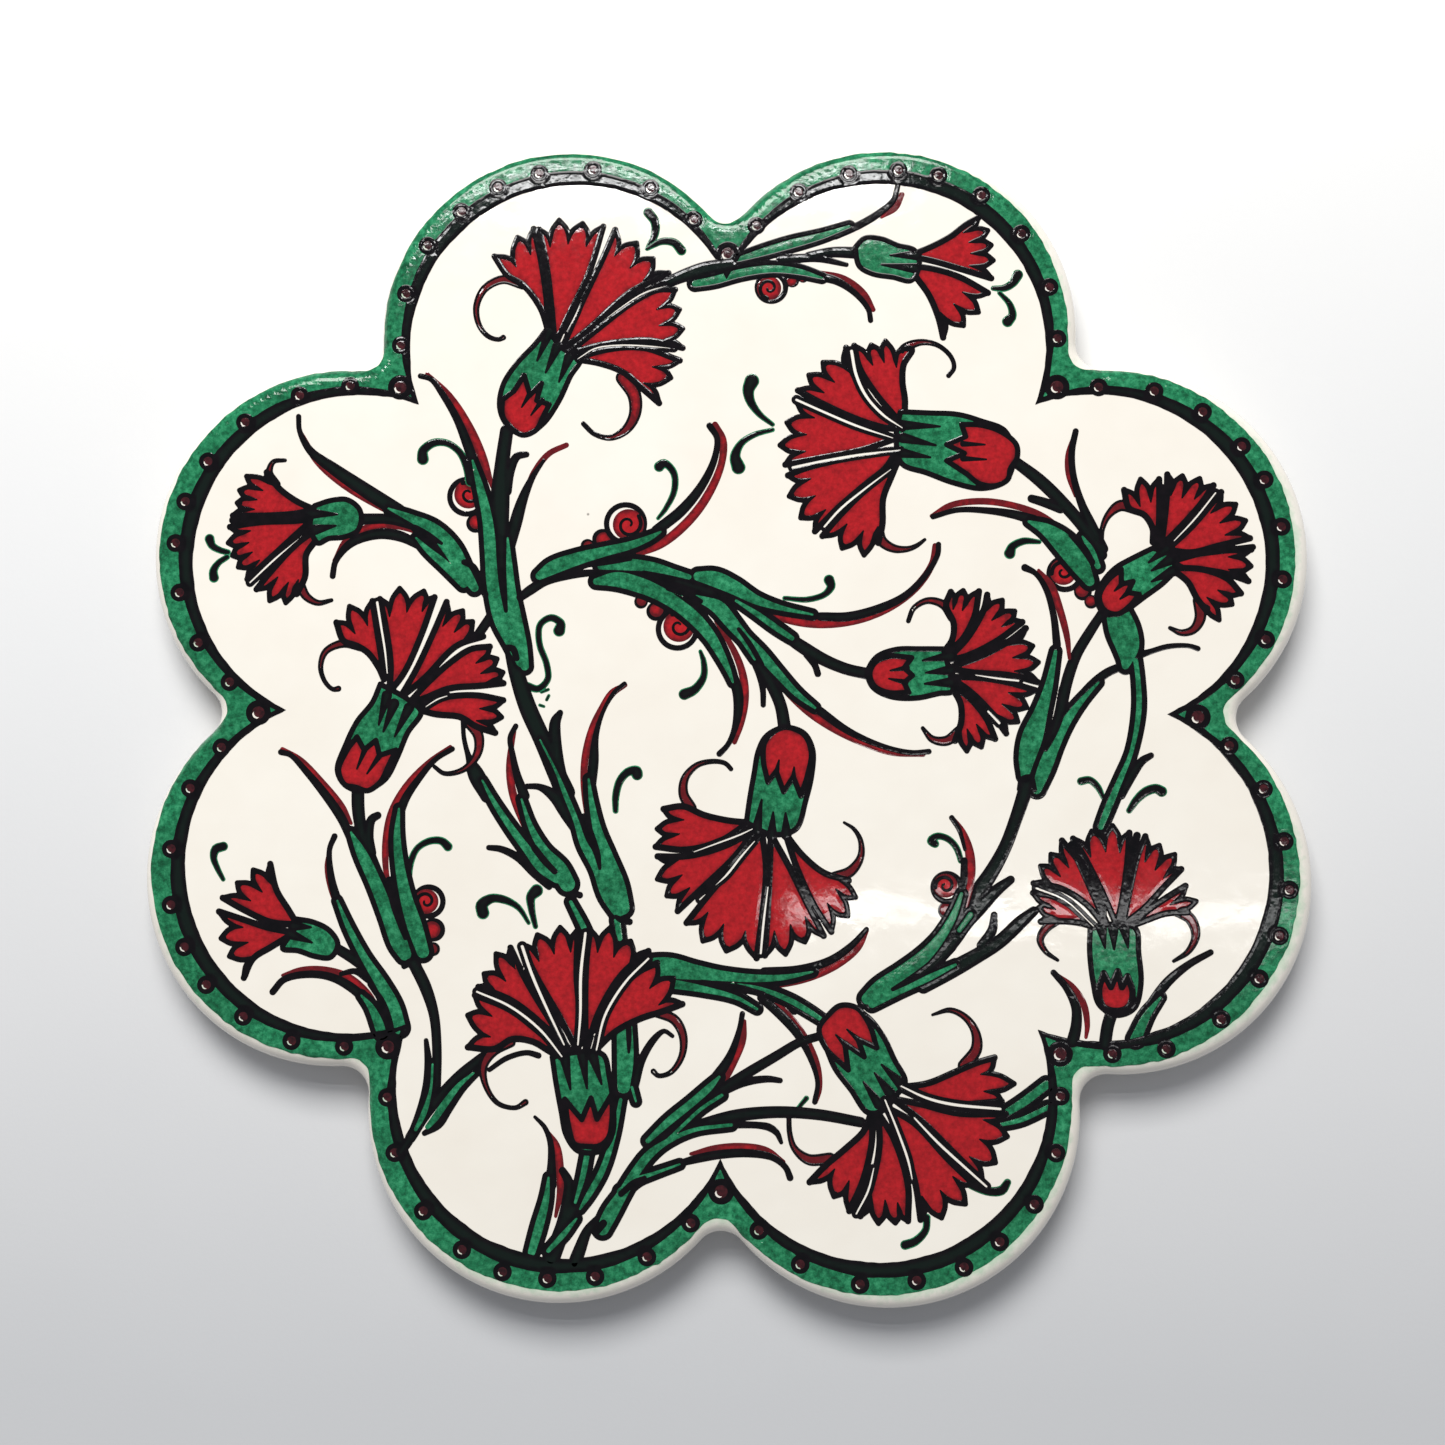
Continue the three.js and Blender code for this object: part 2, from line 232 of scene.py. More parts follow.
def stroke_field(points):
    """Distances inside a brush stroke through (x, y, width) points."""
    line = spline(points)
    centre, half = line[:, :2], line[:, 2] / 2
    area = window(centre, half.max() + WINDOW_MARGIN)
    field = np.full((len(GRID[area[0]]), len(GRID[area[1]])), -FAR)
    for i, (spot, gap, t) in enumerate(segment_gaps(area, centre, half + STROKE_MARGIN)):
        view = field[spot]
        np.maximum(view, half[i] + t * (half[i + 1] - half[i]) - gap, out=view)
    return area, field


def disc_field(centre, radius):
    """Distances inside a disc, which is a stroke that hardly moves."""
    x, y = centre
    return stroke_field([(x, y, 2 * radius), (x + PITCH / 10, y, 2 * radius)])


def outline_field(outline):
    """Distances inside a closed outline of (x, y) points."""
    ring = np.vstack([outline, outline[:1]])
    area = window(ring, FAR)
    ys, xs = GRID[area[0]], GRID[area[1]]
    near = np.full((len(ys), len(xs)), FAR)
    for spot, gap, _ in segment_gaps(area, ring, np.full(len(ring), FAR)):
        view = near[spot]
        np.minimum(view, gap, out=view)
    inside = np.zeros(near.shape, bool)
    for a, b in zip(ring, ring[1:]):
        low, high = (a, b) if a[1] < b[1] else (b, a)
        rows = np.nonzero((ys >= low[1]) & (ys < high[1]))[0]
        if len(rows):
            crossing = low[0] + (ys[rows] - low[1]) * (high[0] - low[0]) / (high[1] - low[1])
            inside[rows] ^= xs[None, :] > crossing[:, None]
    return area, np.where(inside, near, -near)


def widened(stroke, extra):
    return np.array(stroke) + (0, 0, extra)


class Painting:
    """Layers of paint. A fill covers what lies under it, and black lines lie over everything."""

    def __init__(self):
        self.layers = {colour: np.full((len(GRID), len(GRID)), -FAR, np.float32) for colour in COLOURS}

    def lay(self, colour, area, field):
        """Paints one colour where the field is positive, or bares the glaze if it is None."""
        for name, layer in self.layers.items():
            view = layer[area]
            if name == colour:
                np.maximum(view, field, out=view)
            elif colour != "black":
                np.minimum(view, -field, out=view)

    def line(self, points, colour="black"):
        self.lay(colour, *stroke_field(points))

    def taper(self, start, end, widths):
        """A straight black line with those widths at its start and its end."""
        self.line([(*start, widths[0]), (*end, widths[1])])

    def shape(self, colour, outline, edge):
        """A filled outline with a black line of that width along it."""
        area, field = outline_field(outline)
        self.lay(colour, area, field)
        self.lay("black", area, edge / 2 - np.abs(field))

    def cored(self, strokes, colour, edge):
        """Merged strokes of one colour inside a common black edge."""
        fields = [stroke_field(stroke) for stroke in strokes]
        for area, field in fields:
            self.lay("black", area, field)
        for area, field in fields:
            self.lay(colour, area, field - edge)


# ---- The border ----------------------------------------------------------------------------

BAND_EDGE = {"centre": 60.5, "radius": 27.7, "notch_reach": 72.9}
BAND_SHIFT = (-0.5, 0.5)    # the border is painted a little off the middle of the plate
CONTOUR_OUTER = {"centre": 60.3, "radius": 25.3}
CONTOUR_INNER = {"centre": 58.65, "radius": 24.65}
CONTOUR_SHIFT = (-0.15, 0.4)
CONTOUR_OVERLAP = 0.3       # how far the green runs in under the black contour
GREEN_TREMBLE = ((0.13, 1.1, 1), (0.1, 5, 2))       # waves in an edge: (depth, size, seed)
BLACK_TREMBLE = ((0.08, 3, 3), (0.05, 0.9, 4))

CUSP_DOT_REACH = 68.7
CUSP_DOT_RADIUS = 1.85
SMALL_DOT_RADIUS = 1.35
SMALL_DOT_ARC = {"centre": 60.9, "radius": 25.3}
SMALL_DOT_TURNS = (-68, -50.5, -29.5, -11.5, 4, 18.5, 35, 53, 71)       # degrees from a lobe's axis
SMALL_DOT_DRIFT = 0.25
DRIFT_SEED = 5
DOT_OVERLAP = 0.1           # how far the green runs in under the edge of a dot
# The crescent of bare glaze in each dot's eye is a painted highlight on the bead, to the lower left on every
# dot.
EYE = 0.5                   # parts of a dot's radius: the maroon eye,
HIGHLIGHT_CRESCENT = 0.32                # the bare glaze in it, left as a painted highlight,
HIGHLIGHT_CRESCENT_SHIFT = 0.14          # how far that lies to the left and below,
PUPIL = 0.36                # and the maroon over it, which leaves a crescent


def smooth_noise(size, seed):
    """Value noise between -1 and 1 over the whole grid, with blobs of the given size."""
    cells = int(2 * REACH / size) + 2
    coarse = np.random.default_rng(seed).uniform(-1, 1, (cells, cells))
    place = (GRID + REACH) / size
    start = place.astype(int)
    part = place - start
    part = part * part * (3 - 2 * part)
    rows = coarse[start] * (1 - part[:, None]) + coarse[start + 1] * part[:, None]
    return rows[:, start] * (1 - part) + rows[:, start + 1] * part


def tremble(waves):
    """How far an unsteady hand strays from the line, all over the grid."""
    return sum(depth * smooth_noise(size, seed) for depth, size, seed in waves)


def paint_dot(painting, centre, radius):
    """A black disc with a maroon eye, and a crescent of bare glaze in the eye that is a painted highlight."""
    x, y = centre
    shift = HIGHLIGHT_CRESCENT_SHIFT * radius
    painting.lay(None, *disc_field(centre, radius - DOT_OVERLAP))
    painting.lay("black", *disc_field(centre, radius))
    painting.lay("red", *disc_field(centre, EYE * radius))
    # Painted highlight: bare glaze to the lower left of the eye.
    painting.lay(None, *disc_field((x - shift, y - shift), HIGHLIGHT_CRESCENT * radius))
    painting.lay("red", *disc_field(centre, PUPIL * radius))


def paint_border():
    border = Painting()
    border.lay("green", *outline_field(scalloped_ring(0, **BAND_EDGE) + BAND_SHIFT))
    inner_edge = cusped_ring(CONTOUR_OUTER["centre"], CONTOUR_OUTER["radius"] - CONTOUR_OVERLAP)
    border.lay(None, *outline_field(inner_edge + CONTOUR_SHIFT))
    border.lay("black", *outline_field(cusped_ring(**CONTOUR_OUTER) + CONTOUR_SHIFT))
    border.lay(None, *outline_field(cusped_ring(**CONTOUR_INNER) + CONTOUR_SHIFT))
    border.layers["green"] += tremble(GREEN_TREMBLE) * (1 - border.layers["green"] / FAR)
    border.layers["black"] += tremble(BLACK_TREMBLE)
    for centre in small_dot_centres():
        paint_dot(border, centre, SMALL_DOT_RADIUS)
    for centre in cusp_dot_centres():
        paint_dot(border, centre, CUSP_DOT_RADIUS)
    return border


def small_dot_centres():
    """The border's small dots, nine on each lobe, a little off their arc as a hand sets them."""
    shape = (LOBES, len(SMALL_DOT_TURNS), 2)
    drift = np.random.default_rng(DRIFT_SEED).uniform(-SMALL_DOT_DRIFT, SMALL_DOT_DRIFT, shape)
    centres = []
    for axis, shifts in zip(LOBE_AXES, drift):
        middle = polar((0, 0), SMALL_DOT_ARC["centre"], axis)
        for turn, shift in zip(SMALL_DOT_TURNS, shifts):
            centres.append(polar(middle, SMALL_DOT_ARC["radius"], axis + math.radians(turn)) + shift)
    return centres


def cusp_dot_centres():
    return [polar((0, 0), CUSP_DOT_REACH, notch * LOBE_STEP) for notch in range(LOBES)]


# ---- The carnations ------------------------------------------------------------------------
# Every point of the painting is given as (x, y) on the face of the plate.
# A petal is its root, one side, the tips of its teeth and the other side back to the root.
# A curl is a brush stroke of (x, y, width). A calyx is the outline of the green cup, and a
# spike is a dark stroke down it. A bowl and its crown outline the red foot of the flower, and
# ribs are dark strokes on that.

CARNATIONS = [
    dict(   # 1 large, top left
        petals=[
            ((-26.6, 57), [(-27.8, 60.5), (-30.3, 63.9), (-32.8, 65.5)],
             [(-34.8, 68.4), (-31.4, 71.3), (-29, 72.6)], [(-28, 68.5), (-27, 62.5)]),
            ((-25.6, 54.8), [(-26.1, 60), (-27, 67)],
             [(-28.2, 72.5), (-25.2, 73.9), (-21.7, 73.4), (-18.6, 72.9)], [(-20.6, 66), (-24, 58.5)]),
            ((-24.6, 54.2), [(-21.8, 61), (-18.4, 68.5)],
             [(-16.8, 72.4), (-13.6, 70.4), (-11.1, 68), (-8.8, 65.8)], [(-14.6, 62.8), (-20.6, 57.4)]),
            ((-23.8, 53.6), [(-19.4, 57.2), (-14.3, 61.2), (-10.5, 63.2)],
             [(-7.8, 63.3), (-7.1, 60.3), (-6.6, 57.4), (-6.6, 54.5)], [(-11.5, 55.6), (-18, 55.1)]),
            ((-22.6, 52.8), [(-18, 54.2), (-12.5, 54.5)], [(-7, 52.6), (-8.3, 50), (-10, 46.2)],
             [(-12.3, 48.2), (-15.5, 50.9), (-19, 52.2)])],
        curls=[
            [(-30.5, 64.2, 1.7), (-33.5, 64.9, 1.4), (-36.2, 63.5, 1.2), (-37.4, 60.8, 1),
             (-37, 58.1, 0.85), (-35.6, 56.3, 0.75), (-34, 55.8, 0.7), (-33.3, 56.1, 0.85)],
            [(-15.4, 50, 2.2), (-13.7, 47.4, 2.1), (-13.6, 44.5, 1.8), (-14.9, 42.2, 1.4), (-17.2, 41, 0.9),
             (-19.6, 41.6, 0.75), (-21.2, 43.1, 0.75)]],
        calyx=[(-26.8, 57.4), (-28.6, 55), (-31.2, 52.2), (-33.2, 49), (-33.7, 45.6), (-32.6, 43),
               (-30, 41.4), (-27.3, 43), (-24.9, 46.5), (-23.2, 50.3), (-21.8, 52.8), (-24.5, 54.5)],
        spikes=[
            ((-26.4, 57), (-28.2, 52.6)),
            ((-25.2, 54.8), (-26.9, 50.8)),
            ((-23.4, 53.2), (-24.9, 49.4))],
        bowl=[(-33.3, 46.7), (-33.2, 44.2), (-31.9, 42.5), (-30.2, 41.4), (-28.2, 42.2), (-27.2, 44.2),
              (-26.3, 46)],
        crown=[(-28.2, 46.6), (-27.5, 49.2), (-29.2, 47.4), (-30.1, 50.4), (-31.6, 48)],
        ribs=[((-29.2, 47.6), (-30.4, 45.6)), ((-27.4, 46.6), (-29, 44.4))],
    ),
    dict(   # 2 small, top right
        petals=[
            ((26.8, 68.3), [(30, 69.6), (33, 71.2), (35.3, 73)],
             [(37.1, 74), (38.5, 72.1), (39, 69.9), (39.3, 67.6), (39, 64.9)],
             [(34.5, 66.3), (30.5, 67.5)]),
            ((26.8, 66.9), [(31, 66.2), (34.5, 65)], [(38.5, 62.7), (37.1, 59.8), (34.9, 57.8), (31.9, 56)],
             [(31.2, 59), (29.8, 62.4), (28, 65)])],
        calyx=[(18.9, 69.6), (20.3, 71), (22.8, 70.9), (25.2, 69.9), (27.6, 69.2), (28.4, 67.2),
               (27.2, 64.6), (24.5, 65.1), (21.5, 65.6), (19.5, 66.8)],
        spikes=[((28, 68.4), (24.1, 68.4)), ((27.8, 66.4), (22.8, 67))],
    ),
    dict(   # 3 large, centre right
        petals=[
            ((26, 42.9), [(26.3, 46.4), (25.9, 49.5), (26.1, 52), (27.3, 54.2)],
             [(25.9, 54.4), (23.4, 55.5), (21.3, 54.9), (18.8, 54.8)],
             [(19.6, 51.5), (22, 47.6), (24.5, 44.6)]),
            ((25.4, 42.3), [(22.5, 45.2), (19.4, 49.2), (18, 52.2)],
             [(17.6, 54.5), (14.2, 52.3), (12.1, 50.4), (10.5, 48.1)],
             [(14, 46.2), (19, 43.9), (23, 42.6)]),
            ((25.2, 41), [(20.5, 42.4), (15.5, 44.4), (12.2, 45.9)],
             [(10.4, 46.3), (8.9, 43.3), (7.9, 39.9), (8.7, 37)], [(14, 38), (20, 39.2)]),
            ((25, 39), [(20, 38.3), (14, 37.1), (11, 36.2)],
             [(9.1, 35.4), (9.3, 32.3), (11, 29.1), (13.1, 27.1)],
             [(16.5, 30.6), (20.5, 34.1), (23.5, 36.6)]),
            ((25.2, 37.4), [(21, 33.7), (16.8, 29.5)],
             [(14.2, 26.4), (17.1, 24.6), (20.3, 23.6), (22.4, 25.4)],
             [(23, 28.2), (23.1, 32), (24.3, 35.2)])],
        curls=[
            [(25.2, 52.6, 1.5), (26.3, 54.4, 1.5), (28.6, 55.3, 1), (31, 54.9, 0.75), (33, 53.2, 0.7),
             (33.5, 51.5, 0.7), (32.7, 50.3, 0.75)],
            [(22.4, 27.4, 1.6), (22.9, 25.7, 1.6), (24.6, 24.6, 1.3), (26.6, 24.5, 0.9), (28, 25, 0.7),
             (29.2, 25.9, 0.5)]],
        calyx=[(25.6, 44.9), (30, 44.7), (34, 44.5), (37.5, 43.5), (41, 42), (42.2, 38), (41, 34.6),
               (37.6, 33.5), (33.5, 34.3), (29.5, 35.8), (25.8, 37.2), (25, 41)],
        spikes=[((25.8, 42.9), (31.4, 42.7)), ((26, 41), (30.8, 39.9)), ((25.6, 38.8), (30, 38.1))],
        bowl=[(34.6, 43), (37.4, 42.9), (40.4, 41.9), (42.6, 40), (42.7, 38), (41.7, 36.4), (41.4, 34.9),
              (39.6, 33.9), (37.2, 34.2), (35.4, 35.6)],
        crown=[(32.4, 37.6), (35, 38.7), (32.4, 40), (35.2, 41.2)],
        ribs=[((34.8, 40.1), (38, 40)), ((34.8, 37.9), (38.2, 37.8))],
    ),
    dict(   # 4 small, far left
        petals=[
            ((-61, 30.2), [(-63.8, 31.5), (-66.4, 33.4)],
             [(-68.3, 35.8), (-71.3, 35.2), (-72.3, 33.1), (-72.6, 31.2), (-73.2, 29.3)],
             [(-68.5, 29.3), (-64, 29.6)]),
            ((-61.2, 28.8), [(-64, 28.5), (-69, 28.3)],
             [(-73.6, 27.6), (-73.8, 25.2), (-73.1, 23.3), (-72.2, 21.6), (-70.8, 19.8)],
             [(-67.5, 22.9), (-63.8, 26.4)]),
            ((-60.4, 27.4), [(-63.6, 25), (-67, 21.3)],
             [(-69.4, 18.3), (-67.4, 16.6), (-65, 16.3), (-63.4, 17.6)],
             [(-62.2, 20.2), (-62.1, 23.5), (-60.6, 25.9)])],
        curls=[
            [(-66.8, 34, 1.3), (-67.9, 35.8, 1.1), (-67.3, 37.4, 0.75), (-65.6, 37.6, 0.6)],
            [(-62.9, 19, 1.5), (-62, 17.3, 1.3), (-60.2, 16.3, 0.9), (-58.2, 16.7, 0.6)]],
        calyx=[(-61, 30.8), (-58.5, 31.6), (-56.2, 31.7), (-54.4, 30.4), (-54, 28.8), (-54.6, 27),
               (-56.6, 26.1), (-58.8, 25.9), (-60.4, 25.2), (-61.6, 27.8)],
        spikes=[((-61.4, 29.6), (-57.6, 29.5)), ((-60.8, 27.2), (-57.8, 27.8))],
    ),
    dict(   # 5 large, middle left
        petals=[
            ((-50.2, 5), [(-50.9, 6.6), (-52.6, 8.9), (-54.4, 10), (-56.3, 10.7)],
             [(-57.4, 13.4), (-55.5, 15.8), (-52.1, 16.6)], [(-51.3, 12), (-50.5, 7.5)]),
            ((-49.4, 3), [(-49.2, 7), (-50, 12.5)],
             [(-51, 16.9), (-48.1, 18.5), (-44.5, 18.1), (-42.9, 17.2)], [(-44.8, 11.5), (-47.2, 6)]),
            ((-47.8, 2.2), [(-45.4, 6.5), (-42.6, 12.8)],
             [(-41.1, 16.5), (-38.7, 15.2), (-37.2, 13.6), (-35.6, 11.4)], [(-39.5, 10), (-44.2, 5.2)]),
            ((-46.5, 1.4), [(-43.8, 4.4), (-40.3, 7.6), (-37.4, 9.5)],
             [(-34.6, 9.9), (-33.5, 8.1), (-32.6, 6.1), (-32.5, 4.5)],
             [(-36, 4.1), (-40.5, 3.7), (-44, 2.3)]),
            ((-45.4, 0.7), [(-41.5, 2.3), (-36.5, 2.7)], [(-32.5, 2), (-32.7, -0.5), (-33.6, -2.8)],
             [(-36.4, -1.9), (-38.8, -0.5), (-42.5, -0.1)])],
        curls=[
            [(-53.6, 9.9, 1.6), (-56.3, 10.3, 1.3), (-58.9, 9.1, 1), (-59.6, 6.8, 0.8), (-58.9, 4.6, 0.7),
             (-57.7, 3.5, 0.7), (-56.9, 3.6, 0.9)],
            [(-37.8, -1, 1.6), (-36.1, -3.2, 1.6), (-36.2, -5.9, 1.3), (-38.2, -8.2, 0.9), (-41, -8.8, 0.7),
             (-42.5, -7.8, 0.6)]],
        calyx=[(-50.7, 4.3), (-51.8, 1.6), (-54, -1.2), (-55.6, -4.6), (-56.8, -8.4), (-55.6, -10.6),
               (-53, -11.4), (-49.8, -9.8), (-48, -6.5), (-46.5, -2.8), (-44.6, 0.2), (-46.5, 2)],
        spikes=[
            ((-49.7, 2.6), (-50.8, -1.7)),
            ((-48.6, 1.4), (-50.1, -2.7)),
            ((-46.4, 0.8), (-48.4, -3.4))],
        bowl=[(-55.3, -5.2), (-56.6, -8.3), (-55.7, -10.5), (-54, -10.9), (-52.3, -11.4), (-50.5, -10.2),
              (-49.2, -7.6), (-48.2, -5.4)],
        crown=[(-50.6, -6.2), (-51.2, -4), (-52.9, -5.4), (-54, -3.5)],
        ribs=[((-52.8, -5.4), (-53.9, -8.2)), ((-50.7, -6.4), (-52.4, -8.9))],
    ),
    dict(   # 6 middle, opening right
        petals=[
            ((32, 9.4), [(33.2, 11.2), (33.4, 13.6), (32.3, 16.2)],
             [(33, 18.2), (34.8, 18.4), (37.1, 18.3)], [(36.4, 14.5), (34.3, 10.8)]),
            ((32.4, 8.2), [(35.4, 11.4), (37.8, 15.6)],
             [(38.3, 17.8), (40.5, 17), (42.3, 15.4), (43.4, 13.8)], [(39.5, 10.9), (35, 8.7)]),
            ((32.6, 7), [(37.5, 8.8), (41.5, 11)], [(43.9, 12.9), (44.9, 10.3), (45.7, 7.9), (45.6, 5)],
             [(41.5, 6), (36, 6.4)]),
            ((32.8, 5.7), [(37, 5.6), (41, 5)], [(45.3, 3.8), (44, 1.3), (42.7, -0.8), (41, -2.5)],
             [(38.6, 0.8), (35.8, 3.6)]),
            ((33.2, 4.3), [(35.5, 2.8), (38.1, -0.3)],
             [(39.4, -3.3), (37.4, -4.5), (35.3, -5.1), (33.6, -3.6)],
             [(34.5, -0.8), (34.4, 1.8), (33.5, 3.6)])],
        curls=[
            [(33.1, 14.4, 1.2), (31.9, 16.3, 1.3), (29.6, 16.9, 1), (27.6, 15.8, 0.8), (26.8, 13.9, 0.7)],
            [(34.2, -2.2, 1.6), (32.4, -3.6, 1.5), (30.3, -3.4, 1.1), (28.9, -1.8, 0.6)]],
        calyx=[(31.9, 9.8), (28.5, 9.8), (25, 9.7), (22.2, 8.6), (20.9, 6.4), (21.6, 4.2), (24.2, 2.8),
               (28, 2.6), (31.3, 3.3), (33.2, 3.6), (32.8, 6.5)],
        spikes=[((33, 8.8), (28.9, 8.1)), ((33, 6.7), (29.4, 6.3)), ((33, 4.9), (29.2, 4.7))],
        bowl=[(27.3, 8.5), (24.2, 8.7), (22, 7.8), (21.2, 6.2), (21.8, 4.4), (23.8, 3.4), (26.9, 3.4)],
        crown=[(26.2, 4.8), (27.4, 5.9), (26.2, 7)],
        ribs=[((26.6, 7), (24.2, 6.6)), ((26.4, 4.9), (24, 5.4))],
    ),
    dict(   # 7 right
        petals=[
            ((62.4, 25.6), [(62.4, 27.6), (61.2, 29.6), (59, 30.6)],
             [(58.3, 33.3), (60.7, 34.9), (63.4, 34.9)], [(63.4, 31), (63.2, 27.5)]),
            ((63.6, 25), [(64.1, 28.5), (64.5, 32.5)], [(64.6, 35.6), (66.8, 35.4), (69.3, 35), (71.3, 34)],
             [(69.4, 31.2), (66.2, 27.6)]),
            ((64.5, 24.5), [(68.2, 28), (71.4, 31.8)],
             [(72.4, 33), (74.5, 31.2), (75.9, 28.8), (76.5, 26.2)], [(72, 25.1), (68, 24.1)]),
            ((64.8, 23.3), [(69, 23.9), (73, 24.4)], [(76.9, 24.9), (76.6, 22.1), (76.2, 19.9)],
             [(73.3, 20.9), (69.5, 21.6), (66.5, 21.9)]),
            ((64.8, 21.8), [(69.5, 21.6), (73.2, 20.2)],
             [(75.1, 18.1), (73.8, 16.5), (71.9, 14.2), (70.2, 15.4)], [(68.7, 17.4), (67.4, 19.8)])],
        curls=[
            [(60, 30.4, 1.5), (57.8, 31, 1.7), (56, 29.6, 1.1), (55.1, 27.6, 0.8), (55, 25.6, 0.6)],
            [(68.9, 17, 1.6), (69.2, 14.6, 1.7), (68.2, 12.8, 1.3), (66.5, 12.3, 1), (64.8, 13, 0.6)]],
        calyx=[(62.4, 24.7), (59.6, 23.3), (57, 21.8), (55.2, 19.8), (54.2, 17.4), (55.4, 15), (58.2, 15.5),
               (61.2, 17.6), (64.2, 19.9), (65.6, 21.8), (64.6, 24)],
        spikes=[((64.4, 24.6), (61.8, 22.6)), ((64.9, 23), (62.2, 21.4)), ((65.2, 21.3), (62.2, 19.8))],
        bowl=[(57.8, 21.6), (55.8, 19.9), (54.6, 17.6), (55.3, 15.6), (57.2, 15), (59, 16.2), (60.4, 17.9)],
        crown=[(58.7, 18.2), (59.5, 19.8), (57.8, 19.4)],
        ribs=[((58, 19.5), (56.8, 18.4)), ((58.8, 18.2), (57.6, 17.2))],
    ),
    dict(   # 8 large, opening down
        petals=[
            ((3.6, -15.7), [(0.5, -15.4), (-3, -14.6), (-5.9, -13.4)],
             [(-8.8, -13.8), (-9.7, -16.7), (-9.9, -19.3)], [(-5.5, -19.7), (-0.5, -18.4)]),
            ((4.6, -16.7), [(0.5, -19), (-5, -20.6)],
             [(-9.6, -20.7), (-9.6, -24), (-8.2, -26.4), (-6.6, -28.6)], [(-2.5, -24.7), (1.5, -20.8)]),
            ((5.6, -17.2), [(1.2, -22.2), (-2.4, -26.6)],
             [(-5.3, -30.3), (-2.9, -32.9), (0.5, -34.3), (4.9, -35.3)], [(5.7, -29), (6.2, -22.5)]),
            ((6.9, -17.4), [(6.7, -23), (6.4, -30)],
             [(6.1, -34.9), (9.1, -34.7), (11.9, -32.9), (14.6, -32)], [(12, -27), (9.4, -21.8)]),
            ((9, -17.3), [(10.6, -22), (13.2, -27.6)],
             [(15.7, -31.4), (18.1, -29.1), (19.2, -26.4), (18.2, -24)], [(14.6, -22.9), (11.5, -20.4)])],
        curls=[
            [(-4.8, -13.6, 1.7), (-5.9, -11.6, 1.5), (-5.7, -9.3, 1.2), (-4, -7.4, 0.9), (-1.6, -6.8, 0.75),
             (0.2, -7.1, 0.7), (1, -7.9, 0.7)],
            [(16.2, -23.5, 1.6), (18.4, -22.7, 1.6), (19.9, -20.6, 1.1), (19.9, -18.2, 0.8),
             (18.9, -16.5, 0.6), (17.5, -15.6, 0.4)]],
        calyx=[(3.3, -15.7), (3.8, -12), (4.4, -8.5), (5, -5.2), (6.2, -3), (8.8, -1.8), (11.6, -2.6),
               (12.9, -5), (12.8, -8.5), (11.9, -12.5), (10.5, -16.6), (7, -17.4)],
        spikes=[((4.8, -16.8), (5.5, -12.4)), ((7, -17.6), (7.2, -14.2)), ((9.1, -17.4), (9, -14.3))],
        bowl=[(6.4, -9.8), (5.7, -6.4), (6.1, -3.6), (8.7, -1.8), (11.6, -2.8), (12.7, -5.4), (12.2, -8.6),
              (11.2, -11.8)],
        crown=[(10.1, -9), (8.7, -11.2), (7.6, -8.2)],
        ribs=[((7.6, -8.6), (8, -6.6)), ((10.1, -9.4), (10.2, -7.6))],
    ),
    dict(   # 9 right, opening up
        petals=[
            ((53.6, -30.4), [(50.6, -27.7), (47.8, -26.1)], [(44.8, -25.6), (45.6, -27.7), (45.9, -29.7)],
             [(48.4, -29.6), (51.3, -29.8)]),
            ((55, -30.2), [(52.4, -27.1), (48.8, -24.9)],
             [(44.9, -24.2), (45.9, -21.7), (47.4, -20), (49, -18)], [(52.2, -22), (54.6, -26.5)]),
            ((56.8, -30.2), [(54.8, -25.5), (52.3, -20.5)],
             [(50.6, -17.7), (53.3, -16.6), (56.3, -15.8), (58.7, -16.8)], [(58.4, -21), (57.7, -26)]),
            ((57.7, -30), [(58.7, -25), (59.9, -20)],
             [(61, -17.3), (63, -18.6), (65.2, -19.9), (66.1, -22)], [(63.6, -24.6), (60.6, -27.8)]),
            ((58.8, -30.2), [(61.4, -27.9), (64.6, -25.7)], [(66.7, -24.4), (68.2, -26.6), (67, -28.2)],
             [(63.8, -28.4), (61, -29.4)])],
        curls=[
            [(48.7, -29.3, 1.2), (46.6, -30.7, 1.3), (45.8, -32.3, 1.1), (46.6, -34, 0.8),
             (48.3, -35.2, 0.5)],
            [(65.2, -27.9, 1.6), (67.4, -29.2, 1.6), (68.1, -31.5, 1.3), (67, -33.8, 0.9),
             (64.9, -35.2, 0.5)]],
        calyx=[(53, -30.4), (52.9, -34), (53.4, -38.5), (54.2, -41.5), (56.6, -43), (59.2, -42),
               (60.2, -38.5), (59.9, -34), (59.5, -30.6), (56.5, -30)],
        spikes=[
            ((54.6, -30.6), (55.1, -33.4)),
            ((56.3, -30.6), (56.4, -33.6)),
            ((57.9, -30.6), (58.4, -33.3))],
        bowl=[(54.9, -37), (54.2, -39.6), (54.8, -41.8), (56.6, -42.4), (58.4, -41.8), (59, -39.8),
              (58.3, -37.4)],
        crown=[(57.5, -39), (56.9, -36.7), (55.9, -39)],
        bowl_edge=0.95,
    ),
    dict(   # 10 large, bottom left, opening up
        petals=[
            ((-22.6, -49.6), [(-26.6, -46.2), (-31, -43)], [(-36, -41), (-37, -43.9), (-36.9, -48.5)],
             [(-33, -48.7), (-30.5, -47.3), (-27.5, -47.6), (-24.5, -49.2)]),
            ((-21.7, -49.4), [(-26, -45.2), (-30.5, -41.8)],
             [(-35.5, -39.8), (-34.7, -37.9), (-33, -35), (-30.9, -34.1)],
             [(-28.5, -38.9), (-24.4, -45.4)]),
            ((-20.9, -49), [(-23.6, -44), (-27.3, -37.8)],
             [(-29.2, -33.6), (-27, -32.2), (-23.7, -31.1), (-21.1, -31.4)], [(-21.2, -38), (-20.7, -44)]),
            ((-19.7, -49), [(-19.9, -42), (-19.8, -36)],
